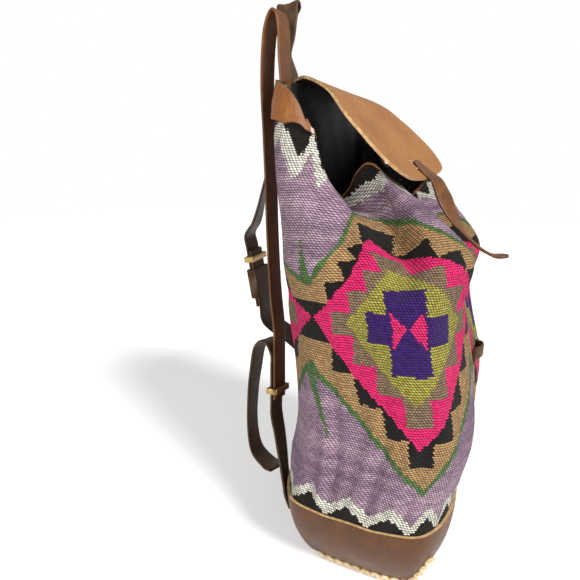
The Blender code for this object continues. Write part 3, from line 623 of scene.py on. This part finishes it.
# %% [markdown]
# A yoke of burnished leather holds the back of the mouth; its seam runs up to the rim at each side, and
# from there a thin piping goes round the front. The base is three cuts of thicker leather: a strip that is
# front, bottom and back, and an end panel at each side, whose front edge slants.

# %% Collar and base leather
YOKE_COUNT = 170
yoke_around = np.linspace(-YOKE_END + 0.002, YOKE_END - 0.002, YOKE_COUNT)
yoke_rows = 18
all_up = np.linspace(YOKE_SEAM - 0.01, 1.0, 40)
wide, wide_out = draped(yoke_around % 1.0, all_up)
wide_out[:, 0], wide_out[:, -1] = wide_out[:, 1], wide_out[:, -2]
yoke, yoke_out = np.zeros((yoke_rows, YOKE_COUNT, 3)), np.zeros((yoke_rows, YOKE_COUNT, 3))
for i, place in enumerate(yoke_around):
    reach = np.linspace(min(float(yoke_seam(place)) - 0.006, 0.985), 1.0, yoke_rows)
    for axis in range(3):
        yoke[:, i, axis] = np.interp(reach, all_up, wide[:, i, axis])
        yoke_out[:, i, axis] = np.interp(reach, all_up, wide_out[:, i, axis])
flat = flat_uv(yoke_around * ROUND, np.linspace(0, 0.04, yoke_rows))
yoke_faces = (yoke + yoke_out * (GAP + LEATHER), yoke + yoke_out * GAP)
mesh = sheet_mesh("burnished_yoke", *yoke_faces, {"flat": flat}, False)
finish_object("burnished_yoke", mesh, BAG, ["mouth_collar"], [collar_leather, brown_edge])

PIPING = 1.7 * MM


def curve_object(name, points, bevel=0.0):
    curve = bpy.data.curves.new(name, "CURVE")
    curve.dimensions = "3D"
    curve.bevel_depth = bevel
    spline = curve.splines.new("POLY")
    spline.points.add(len(points) - 1)
    for point, place in zip(spline.points, points):
        point.co = (*place, 1.0)
    obj = bpy.data.objects.new(name, curve)
    bpy.context.scene.collection.objects.link(obj)
    return obj


def plain_mesh(obj):
    """The evaluated mesh of an object, which then goes."""
    graph = bpy.context.evaluated_depsgraph_get()
    mesh = bpy.data.meshes.new_from_object(obj.evaluated_get(graph), depsgraph=graph)
    bpy.data.objects.remove(obj)
    mesh.shade_smooth()
    return mesh


rim_places = np.linspace(0, 1, 300, endpoint=False)
rim, rim_out = draped(rim_places, np.array([0.985, 1.0]))
kept = (rim_places > YOKE_END - 0.012) & (rim_places < 1.012 - YOKE_END)
rim_path = (rim[1] - rim_out[1] * KILIM / 2)[kept] + np.array([0, 0, 0.6 * MM])
mesh = plain_mesh(curve_object("rim_path", rim_path, bevel=PIPING))
finish_object("rim_piping", mesh, BAG, ["mouth_collar"], [collar_leather])

BASE_UP = np.linspace(0, 1, 26)
CORNER_SLIT, CORNER_LEAN = 0.0012, 0.046


def base_patch(starts, ends, count, up):
    """A patch of the base's wall, whose ends may differ from row to row."""
    rows = [base_points(np.linspace(a, b, count), [share]) for a, b, share in zip(starts, ends, up)]
    return np.concatenate(rows)


def near_corner(up):
    """Where the near end panel stops: at the corner below, and well round the front at the seam."""
    return NEAR_FRONT + CORNER_LEAN * up ** 1.3


def far_corner(up):
    return FAR_FRONT - CORNER_LEAN * up ** 1.3


def end_panel(name, starts, ends, up, replaced):
    panel = base_patch(starts + CORNER_SLIT, ends - CORNER_SLIT, 64, up)
    facing = normals(panel, wraps=False)
    faces_out, faces_in = panel + facing * (GAP + LEATHER), panel + facing * GAP
    faces_out[0, :, 2] = faces_in[0, :, 2] = panel[0, :, 2]
    flat = flat_uv(np.linspace(0, BASE_DEPTH, 64), up * BASE_HEIGHT)
    made = sheet_mesh(name, faces_out, faces_in, {"flat": flat}, False)
    finish_object(name, made, BAG, [replaced], [base_leather, pale_edge])


def bottom_strip():
    front = base_patch(near_corner(BASE_UP), far_corner(BASE_UP), 90, BASE_UP)
    back = base_points(np.linspace(FAR_BACK, NEAR_BACK + 1, 90)[::-1], BASE_UP)
    front_out, back_out = normals(front, wraps=False), -normals(back, wraps=False)
    layers = []
    for lift, level in ((GAP + LEATHER, 0.0), (GAP, LEATHER)):
        front_wall, back_wall = front + front_out * lift, back + back_out * lift
        front_wall[0, :, 2] = back_wall[0, :, 2] = level
        share = np.concatenate([[0.03], np.linspace(0.08, 0.92, 12), [0.97]])[:, None, None]
        floor = back_wall[0] + (front_wall[0] - back_wall[0]) * share
        under_ends = GAP + LEATHER + END_BOW * (4 * share * (1 - share))[:, 0, 0]
        floor[:, 0, 0] -= under_ends
        floor[:, -1, 0] += under_ends
        layers.append(np.concatenate([back_wall[::-1], floor, front_wall]))
    flat = flat_uv(np.linspace(0, BODY_WIDTH, 90), np.linspace(0, 0.3, len(layers[0])))
    made = sheet_mesh("bottom_strip", layers[0], layers[1], {"flat": flat}, False)
    finish_object("bottom_strip", made, BAG, ["base_strip"], [base_leather, pale_edge])


panel_up = np.concatenate([[(LEATHER + GAP) / BASE_HEIGHT], BASE_UP[2:]])
even = np.ones(len(panel_up))
end_panel("near_end_panel", NEAR_BACK * even, near_corner(panel_up), panel_up, "base_end_near")
end_panel("far_end_panel", far_corner(panel_up), FAR_BACK * even, panel_up, "base_end_far")
bottom_strip()
print("collar and base leather made")

# %% [markdown]
# Rawhide lace is plaited over the edge of each end panel. A plait seen from outside is a row of slanting
# leaf-shaped loops that lean left and right in turn. That is a job for geometry nodes: points along a path,
# a loop on each point, turned one way or the other by whether its number is odd.

# %% Plaited lace
LACE_PITCH = 9.0 * MM


def rawhide_material():
    made, tree, shader = new_material("rawhide_lace")
    place = add(tree, "ShaderNodeTexCoord").outputs["Object"]
    fibres = noise(tree, place, 300.0, 4.0)
    share = add(tree, "ShaderNodeMapRange", fibres, 0.35, 0.68)
    tree.links.new(mixed(tree, share, "#E6D3AE", "#C19E6C"), shader.inputs["Base Color"])
    rough_surface(tree, shader, fibres, 0.5, 0.4 * MM)
    shader.inputs["Roughness"].default_value = 0.62
    return made


rawhide = rawhide_material()


def lace_tree():
    """Geometry nodes: slanting loops along a curve, with their pitch, size and lean as inputs and a rawhide
    finish.
    """
    tree = bpy.data.node_groups.new("plaited_lace", "GeometryNodeTree")
    tree.interface.new_socket("Geometry", in_out="INPUT", socket_type="NodeSocketGeometry")
    for name, value in (("Pitch", LACE_PITCH / 2), ("Long", 5.0 * MM), ("Thick", 2.1 * MM), ("Lean", 0.58)):
        socket = tree.interface.new_socket(name, in_out="INPUT", socket_type="NodeSocketFloat")
        socket.default_value = value
    tree.interface.new_socket("Geometry", in_out="OUTPUT", socket_type="NodeSocketGeometry")
    given = add(tree, "NodeGroupInput")
    points = add(tree, "GeometryNodeCurveToPoints", given.outputs["Geometry"], mode="LENGTH")
    tree.links.new(given.outputs["Pitch"], points.inputs["Length"])
    leaf = add(tree, "GeometryNodeMeshUVSphere", 12, 8, 1.0)
    thick = given.outputs["Thick"]
    size = add(tree, "ShaderNodeCombineXYZ", thick, thick, given.outputs["Long"])
    odd = add(tree, "ShaderNodeMath", add(tree, "GeometryNodeInputIndex"), 2.0, operation="MODULO")
    side = add(tree, "ShaderNodeMath", odd, 2.0, -1.0, operation="MULTIPLY_ADD")
    lean = add(tree, "ShaderNodeMath", side, given.outputs["Lean"], operation="MULTIPLY")
    tilt = add(tree, "ShaderNodeCombineXYZ", 0.0, lean, 0.0)
    facing = add(tree, "FunctionNodeAxesToRotation", primary_axis="Z", secondary_axis="X")
    tree.links.new(points.outputs["Tangent"], facing.inputs[0])
    facing.inputs[1].default_value = (0.0, 0.0, 1.0)
    turned = add(tree, "FunctionNodeRotateRotation", facing, tilt, rotation_space="LOCAL")
    placed = add(tree, "GeometryNodeInstanceOnPoints", ("Points", points.outputs["Points"]),
                 ("Instance", leaf), ("Rotation", turned), ("Scale", size))
    whole = add(tree, "GeometryNodeRealizeInstances", placed)
    smooth = add(tree, "GeometryNodeSetShadeSmooth", whole)
    dressed = add(tree, "GeometryNodeSetMaterial", smooth, ("Material", rawhide))
    result = add(tree, "NodeGroupOutput")
    tree.links.new(dressed.outputs[0], result.inputs[0])
    return tree


plait = lace_tree()


def grown_mesh(obj, tree, **values):
    """Run a geometry node tree on an object and return the plain mesh; the object goes."""
    modifier = obj.modifiers.new("grow", "NODES")
    modifier.node_group = tree
    for item in tree.interface.items_tree:
        if item.item_type == "SOCKET" and item.in_out == "INPUT" and item.name in values:
            modifier[item.identifier] = values[item.name]
    return plain_mesh(obj)


def lace_route(start, end):
    """The lace's path: along an end panel's foot, then half way up its slanting front edge."""
    reach = GAP + LEATHER + 1.2 * MM
    level = (LEATHER + 4.2 * MM) / BASE_HEIGHT
    turns = 1 if start == NEAR_BACK else -1
    front, back = (end, start) if turns == 1 else (start, end)
    walk = np.linspace(back + turns * 0.026, front - turns * 0.004, 25)
    foot = base_points(walk, [level, level + 0.02])
    low = foot[0] + normals(foot, wraps=False)[0] * reach * turns
    rise_up = np.linspace(level + 0.08, 0.55, 8)
    edge = near_corner(rise_up) - 0.004 if turns == 1 else far_corner(rise_up) + 0.004
    rise = base_patch(edge, edge + 0.01, 2, rise_up)
    high = rise[:, 0] + normals(rise, wraps=False)[:, 0] * reach
    return smooth_path(np.concatenate([low, high]), 90)


for side, start, end in (("near", NEAR_BACK, NEAR_FRONT), ("far", FAR_FRONT, FAR_BACK)):
    path = curve_object(side + "_lace_path", lace_route(start, end))
    mesh = grown_mesh(path, plait)
    finish_object(side + "_plaited_lace", mesh, BAG, ["edge_lacing_" + side])
    print(side, "lace", len(mesh.polygons), "faces")

# %% [markdown]
# The flap is one cut of tan leather with round corners, sewn to the back of the collar. It droops towards
# the front and sags a little along its middle. Its underside is the dark, rough flesh side of the hide.

# %% Flap
FLAP_WIDTH, FLAP_CENTRE_X, FLAP_CORNER = 0.205, 0.0135, 0.042
FLAP_CUT, FLAP_CUT_LONG = 0.045, 0.55
FLAP_SAG, FLAP_TILT = 0.009, 0.006


def flap_grid(across_count, along_count):
    """The flap's underside: it leaves the back of the mouth level, then droops, and sags in the middle."""
    half = FLAP_WIDTH / 2
    profile_y = BODY_DEPTH / 2 * np.array([1.20, 1.02, 0.66, 0.42, 0.17, -0.13, -0.26])
    droop = (BACK_HEIGHT - BASE_HEIGHT) * np.array([0.0, 0.002, -0.036, -0.085, -0.142, -0.212, -0.236])
    profile = np.stack([np.zeros(7), profile_y, BACK_HEIGHT + 2 * GAP + droop], axis=1)
    centre = smooth_path(profile, 60)
    steps = np.linalg.norm(np.diff(centre, axis=0), axis=1)
    walked = np.concatenate([[0.0], np.cumsum(steps)])
    spread = np.sin(np.linspace(-1, 1, across_count) * pi / 2)
    made = np.zeros((along_count, across_count, 3))
    for i, share_across in enumerate(spread):
        into = max(0.0, abs(share_across) * half - (half - FLAP_CORNER)) / FLAP_CORNER
        cut = FLAP_CORNER * (1 - np.sqrt(max(0.0, 1 - into**2)))
        reach = np.linspace(0, walked[-1] - cut, along_count)
        for axis in (1, 2):
            made[:, i, axis] = np.interp(reach, walked, centre[:, axis])
        cut_back = FLAP_CUT * np.clip(1 - reach / walked[-1] / FLAP_CUT_LONG, 0, 1)
        made[:, i, 0] = FLAP_CENTRE_X + share_across * (half - cut_back)
        lift = FLAP_SAG * share_across**2 + FLAP_TILT * share_across
        made[:, i, 2] += lift * (reach / walked[-1]) ** 1.5
    return made, walked[-1]


FLAP_ACROSS, FLAP_ALONG = 91, 70
under, flap_length = flap_grid(FLAP_ACROSS, FLAP_ALONG)
upward = -normals(under, wraps=False)
upward[0] = (0, 0, 1)
flat = flat_uv(np.linspace(0, FLAP_WIDTH, FLAP_ACROSS), np.linspace(0, flap_length, FLAP_ALONG))
mesh = sheet_mesh("flap_leather_panel", under + upward * LEATHER, under, {"flat": flat}, False,
                  inner_index=2)
for polygon in mesh.polygons:
    polygon.flip()
mesh.update()
finish_object("flap_leather_panel", mesh, FLAP_BODY, ["flap"],
              [flap_leather, pale_edge, flesh_side])
print("flap", round(flap_length, 3), "m long")

# %% [markdown]
# A strap is a ribbon swept along a smooth route. At each point the ribbon has a direction for its width,
# so it can twist as leather does where it crosses the shoulder of the bag. Where two straps lie on each
# other in a slide, both face the way that the slide faces.

# %% Straps
STRAP_WIDTH, CLOSING_WIDTH, JUNCTION_REACH = 0.023, 0.020, 0.042
CROWN, EDGE = 0.22, 0.484       # how square a strap's section is, across and through
NEAR_FOOT, FAR_FOOT = 1.128, 0.872      # where the lower straps leave the base, as a share of the way round
FAR_ROOT = 0.071                        # where the far strap leaves the collar
# Each junction is the slide's centre, the way down the straps and the way that they face
NEAR_JUNCTION = ((-0.0720, 0.0985, 0.158), (-0.12, -0.06, -0.99), (0.0, 1.0, 0.0))
FAR_JUNCTION = ((-0.0265, 0.1450, 0.247), (0.10, -0.12, -0.98), (0.0, 1.0, 0.0))
NEAR_UPPER = ((-0.0700, 0.0895, 0.425), (-0.0700, 0.0905, 0.444), (-0.0696, 0.0918, 0.460),
              (-0.0688, 0.0925, 0.478), (-0.0682, 0.0940, 0.490), (-0.0676, 0.0980, 0.497),
              (-0.0668, 0.1035, 0.493), (-0.0658, 0.1085, 0.478), (-0.0620, 0.1130, 0.440),
              (-0.0550, 0.1155, 0.400), (-0.0505, 0.1165, 0.355), (-0.0525, 0.1140, 0.300),
              (-0.0580, 0.1080, 0.245))
FAR_UPPER = ((-0.0360, 0.1005, 0.450), (-0.0380, 0.1025, 0.475), (-0.0410, 0.1035, 0.495),
             (-0.0375, 0.1045, 0.511), (-0.0290, 0.1070, 0.511), (-0.0235, 0.1110, 0.490),
             (-0.0220, 0.1180, 0.445), (-0.0240, 0.1270, 0.390), (-0.0265, 0.1390, 0.340),
             (-0.0290, 0.1460, 0.312))
NEAR_SLACK = ((-0.0683, 0.1070, 0.1945), (-0.0665, 0.1150, 0.196), (-0.0620, 0.1250, 0.186),
              (-0.0550, 0.1340, 0.160), (-0.0490, 0.1420, 0.126), (-0.0450, 0.1460, 0.084),
              (-0.0480, 0.1390, 0.058), (-0.0530, 0.1210, 0.048), (-0.0590, 0.1060, 0.050))
FAR_LOWER = ((0.0700, 0.0960, 0.105), (0.0450, 0.1110, 0.140), (0.0120, 0.1260, 0.176))
CLOSING_FALL = ((-0.006, -0.005), (-0.012, -0.016), (-0.020, -0.032), (-0.031, -0.049), (-0.047, -0.065),
                (-0.062, -0.073), (-0.076, -0.073))
# The way a strap's width lies, at shares of its length
NEAR_TURNS = ((0, (1, 0.1, 0)), (0.2, (1, 0, 0)), (1, (1, 0, 0)))
FAR_TURNS = ((0, (1, 0, 0)), (0.10, (1, 0, 0)), (0.22, (0.1, 1, 0)), (0.36, (0.8, 0.6, 0)), (1, (1, 0, 0)))
NEAR_LOWER_TURNS = ((0, (1, 0.3, 0)), (1, (1, 0, 0)))
FAR_LOWER_TURNS = ((0, (1, -0.3, 0)), (1, (1, 0, 0)))
CLOSING_TURNS = ((0, (1, 0, 0)), (0.18, (0.9, -0.3, 0)), (0.36, (0.7, -0.6, -0.3)),
                 (0.5, (0.8, -0.4, -0.2)), (0.72, (0.9, 0.3, 0)), (1, (0.89, 0.45, 0)))


def junction_axes(junction):
    """A junction's centre, the way down the straps, the way that they face, and the way across them."""
    centre, down, facing = (np.array(v) for v in junction)
    down = down / np.linalg.norm(down)
    facing = facing - down * facing.dot(down)
    facing /= np.linalg.norm(facing)
    return centre, down, facing, np.cross(down, facing)


def joined_at(junction, along, side):
    """A point of a strap in its slide, on the side that faces out (1) or in (-1)."""
    centre, down, facing, _ = junction_axes(junction)
    return tuple(centre + down * along + facing * side * (STRAP / 2 + GAP))


def on_wall(place, share, lift, base=False):
    """A point outside the body's wall, or the base's, at a lift from the reference surface."""
    columns = np.array([place - 0.004, place, place + 0.004])
    up = np.array([share - 0.01, share, share + 0.01])
    near = base_points(columns, up) if base else body_points(columns, up)
    return near[1, 1] + normals(near, wraps=False)[1, 1] * lift


def ribbon_mesh(name, path, sides, width, thickness, tip_round=0.0):
    """A strap with slightly crowned faces and round edges, its UV in metres along and across."""
    ahead = np.gradient(path, axis=0)
    ahead /= np.linalg.norm(ahead, axis=1, keepdims=True)
    sides = sides - ahead * (sides * ahead).sum(axis=1, keepdims=True)
    sides /= np.linalg.norm(sides, axis=1, keepdims=True)
    face = np.cross(ahead, sides)
    walked = np.concatenate([[0.0], np.cumsum(np.linalg.norm(np.diff(path, axis=0), axis=1))])
    angles = np.linspace(0, 2 * pi, 28, endpoint=False)
    across = np.sign(np.cos(angles)) * np.abs(np.cos(angles)) ** CROWN
    over = np.sign(np.sin(angles)) * np.abs(np.sin(angles)) ** EDGE
    rings = []
    for k, (p, s, f) in enumerate(zip(path, sides, face)):
        left = walked[-1] - walked[k]
        narrow = np.sqrt(max(0.02, 1 - max(0.0, 1 - left / tip_round) ** 2)) if tip_round else 1.0
        rings.append([p + s * a * width / 2 * narrow + f * b * thickness / 2 for a, b in zip(across, over)])
    count, ring = len(path), len(angles)
    faces, corners = [], []
    for j in range(count - 1):
        for i in range(ring):
            n = (i + 1) % ring
            loop = ((j, i), (j, n), (j + 1, n), (j + 1, i))
            faces.append(tuple(step * ring + place for step, place in loop))
            corners += [(walked[step], across[place] * width / 2) for step, place in loop]
    faces += [tuple(range(ring))[::-1], tuple((count - 1) * ring + k for k in range(ring))]
    corners += [(0.0, 0.0)] * ring + [(walked[-1], 0.0)] * ring
    mesh = bpy.data.meshes.new(name)
    mesh.from_pydata([tuple(v) for v in np.array(rings).reshape(-1, 3)], [], faces)
    mesh.uv_layers.new(name="flat")
    mesh.uv_layers["flat"].data.foreach_set("uv", np.array(corners, dtype=np.float32).ravel())
    mesh.shade_smooth()
    mesh.set_sharp_from_angle(angle=radians(50))
    return mesh


def strap(name, route, turns, replaced, junction=None, made_of=strap_leather, body=BAG,
          width=STRAP_WIDTH, tip_round=0.0):
    """A strap along a route, which turns as told, and lies flat in its junction."""
    count = 11 * len(route)
    path = smooth_path(route, count)
    shares, ways = zip(*turns)
    spots = np.linspace(0, 1, count)
    sides = np.stack([np.interp(spots, shares, along) for along in zip(*ways)], axis=1)
    if junction:
        centre, _, _, across = junction_axes(junction)
        share = np.clip(2 - np.linalg.norm(path - centre, axis=1) / JUNCTION_REACH, 0, 1)[:, None]
        sides = sides * (1 - share) + across * share
    mesh = ribbon_mesh(name, path, sides, width, STRAP, tip_round)
    finish_object(name, mesh, body, [replaced], [made_of])


def in_slide(junction, side, *places):
    return [joined_at(junction, along, side) for along in places]


def from_base(foot):
    """A lower strap's first points, up the outside of the base."""
    return [on_wall(foot, share, rest, base=True) for share in (0.62, 0.8, 0.96)]


rest = 2 * GAP + LEATHER + STRAP_EASE + STRAP / 2
route = [*NEAR_UPPER, *in_slide(NEAR_JUNCTION, -1, -0.05, -0.035, -0.01, 0.018)]
strap("near_shoulder_strap", route, NEAR_TURNS, "near_upper_strap", NEAR_JUNCTION, tan_strap_leather)
route = [*(on_wall(FAR_ROOT, share, rest) for share in (0.92, 0.96)), *FAR_UPPER,
         *in_slide(FAR_JUNCTION, 1, -0.052, -0.04, -0.02, 0.0, 0.026)]
strap("far_shoulder_strap", route, FAR_TURNS, "far_upper_strap", FAR_JUNCTION)
route = [*from_base(NEAR_FOOT), (-0.0790, 0.0930, 0.105),
         *in_slide(NEAR_JUNCTION, 1, 0.034, 0.02, 0.0, -0.016, -0.026), *NEAR_SLACK]
strap("near_adjusting_strap", route, NEAR_LOWER_TURNS, "near_lower_strap", NEAR_JUNCTION)
route = [*from_base(FAR_FOOT), *FAR_LOWER, *in_slide(FAR_JUNCTION, -1, 0.042, 0.028, 0.01, -0.01, -0.036)]
strap("far_adjusting_strap", route, FAR_LOWER_TURNS, "far_lower_strap", FAR_JUNCTION)

coarse, _ = flap_grid(17, 23)
lifted = coarse - normals(coarse, wraps=False) * (LEATHER + GAP + STRAP_EASE + STRAP / 2)
on_flap = lifted[19:, 8]
route = [*on_flap, *(on_flap[-1] + (0, y, z) for y, z in CLOSING_FALL)]
strap("closing_tongue", route, CLOSING_TURNS, "closing_strap", None, tan_strap_leather, FLAP_BODY,
      CLOSING_WIDTH, tip_round=0.012)

# The slot that the tongue comes out of, with a row of stitches round it. The flap is not cut: a thin dark
# strip of the flesh-side finish lies over the slot as painted shade in its opening
SLOT_ROW, SLOT_HALF, SLOT_THICK = 61, 11.5 * MM, 0.5 * MM
middle = FLAP_ACROSS // 2
centre = under[SLOT_ROW, middle] + upward[SLOT_ROW, middle] * (LEATHER + SLOT_THICK / 2)
along = under[SLOT_ROW + 2, middle] - under[SLOT_ROW - 2, middle]
along /= np.linalg.norm(along)
across = np.array([1.0, 0.0, 0.0])
slit = np.array([centre + across * x for x in (-SLOT_HALF, 0.0, SLOT_HALF)])
mesh = ribbon_mesh("flap_slot_shade_strip", slit, np.array([along] * 3), 2.6 * MM, SLOT_THICK)
finish_object("flap_slot_shade_strip", mesh, FLAP_BODY, materials=[flesh_side])
corners = [(-15, -4.5), (15, -4.5), (15, 4.5), (-15, 4.5), (-15, -4.5)]
stitch_path = curve_object("slot_stitch_path", [centre + (across * x + along * y) * MM for x, y in corners])
mesh = grown_mesh(stitch_path, plait, Pitch=3.0 * MM, Long=1.1 * MM, Thick=0.4 * MM, Lean=0.0)
finish_object("slot_stitches", mesh, FLAP_BODY)
print("straps made")

# %% [markdown]
# Small fittings keep the frame's own forms: rectangular brass slides and a leather keeper. Each is copied,
# its loose triangles are joined, and a small bevel takes the hard edge off, as tumbling and wear do.

# %% Slides and keepers
def brass_material():
    made, tree, shader = new_material("tumbled_brass")
    place = add(tree, "ShaderNodeTexCoord").outputs["Object"]
    worn = noise(tree, place, 240.0, 4.0)
    tree.links.new(mixed(tree, worn, "#8E6E3C", "#D9BC82"), shader.inputs["Base Color"])
    gloss = add(tree, "ShaderNodeMapRange", worn, 0.3, 0.7, 0.22, 0.45)
    tree.links.new(gloss.outputs[0], shader.inputs["Roughness"])
    shader.inputs["Metallic"].default_value = 1.0
    return made


def rounded_copy(node, name, made_of, width):
    """A frame node's own form, with its sharp edges taken off by a bevel of that width."""
    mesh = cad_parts[node].data.copy()
    mesh.materials.clear()
    shape = bmesh.new()
    shape.from_mesh(mesh)
    bmesh.ops.remove_doubles(shape, verts=shape.verts, dist=0.02 * MM)
    bmesh.ops.dissolve_limit(shape, angle_limit=radians(2), verts=shape.verts, edges=shape.edges)
    sharp = [e for e in shape.edges if e.is_manifold and e.calc_face_angle(0.0) > radians(30)]
    bmesh.ops.bevel(shape, geom=sharp, offset=width, segments=2, affect="EDGES")
    shape.to_mesh(mesh)
    shape.free()
    mesh.name = name
    mesh.shade_smooth()
    mesh.set_sharp_from_angle(angle=radians(40))
    finish_object(name, mesh, BAG, [node], [made_of])


brass = brass_material()
rounded_copy("near_strap_slide", "near_slide", brass, 0.5 * MM)
rounded_copy("far_strap_slide", "far_slide", brass, 0.5 * MM)
rounded_copy("far_strap_keeper", "far_keeper", strap_leather, 0.5 * MM)
rounded_copy("front_keeper", "front_loop", strap_leather, 0.3 * MM)

# %% [markdown]
# The photograph has a white sweep and soft light from above and from the viewer's right. A wide sun is the
# soft key, a pale world and one lamp behind the bag fill the shadows, and the floor catches a faint shadow.

# %% Floor, light and camera
def stage_material():
    """A white sweep: the camera sees plain white, everything else a pale floor with a shadow."""
    made, tree, shader = new_material("white_paper_sweep")
    shader.inputs["Base Color"].default_value = linear("#FBFBFA")
    shader.inputs["Roughness"].default_value = 0.9
    shader.inputs["Emission Color"].default_value = (1.0, 1.0, 1.0, 1.0)
    seen = add(tree, "ShaderNodeLightPath").outputs["Is Camera Ray"]
    glow = add(tree, "ShaderNodeMath", seen, 0.30, operation="MULTIPLY")
    tree.links.new(glow.outputs[0], shader.inputs["Emission Strength"])
    return made


floor_mesh = bpy.data.meshes.new("paper_sweep")
shape = bmesh.new()
under_base = Matrix.Translation((0, 0, -0.5 * MM))
bmesh.ops.create_grid(shape, x_segments=1, y_segments=1, size=4.0, matrix=under_base)
shape.to_mesh(floor_mesh)
shape.free()
floor_mesh.materials.append(stage_material())
floor = bpy.data.objects.new("paper_sweep", floor_mesh)
bpy.context.scene.collection.objects.link(floor)


def lamp(name, kind, energy, facing, place=(0, 0, 0), **settings):
    data = bpy.data.lights.new(name, kind)
    data.energy = energy
    for key, value in settings.items():
        setattr(data, key, value)
    made = bpy.data.objects.new(name, data)
    made.location = place
    made.rotation_euler = Vector(facing).to_track_quat("-Z", "Y").to_euler()
    bpy.context.scene.collection.objects.link(made)


FILL_PLACE, FILL_AIM = Vector((-1.7, 0.2, 0.9)), Vector((0, 0, 0.2))
lamp("key", "SUN", 3.3, (0.31, 0.735, -0.60), angle=0.28)
lamp("fill", "AREA", 15.0, FILL_AIM - FILL_PLACE, FILL_PLACE, size=1.0)

world = bpy.data.worlds.new("white_room")
bpy.context.scene.world = world
world.use_nodes = True
tree = world.node_tree
background = tree.nodes["Background"]
rays = add(tree, "ShaderNodeLightPath")
glossy = add(tree, "ShaderNodeMath", rays.outputs["Is Glossy Ray"], 0.2, operation="MULTIPLY")
seen = add(tree, "ShaderNodeMath", rays.outputs["Is Camera Ray"], glossy, operation="MAXIMUM")
strength = add(tree, "ShaderNodeMapRange", seen, 0.0, 1.0, 0.30, 1.0)
tree.links.new(strength.outputs[0], background.inputs["Strength"])
background.inputs["Color"].default_value = (1.0, 1.0, 1.0, 1.0)

camera_data = bpy.data.cameras.new("viewer")
camera_data.sensor_width = 36.0
camera_data.lens = 31.03
camera = bpy.data.objects.new("viewer", camera_data)
camera.location = (-0.4875, -0.127, 0.36)
camera.rotation_euler = (radians(77), 0, radians(-63))
bpy.context.scene.collection.objects.link(camera)
bpy.context.scene.camera = camera
bpy.context.scene.view_settings.view_transform = "Standard"
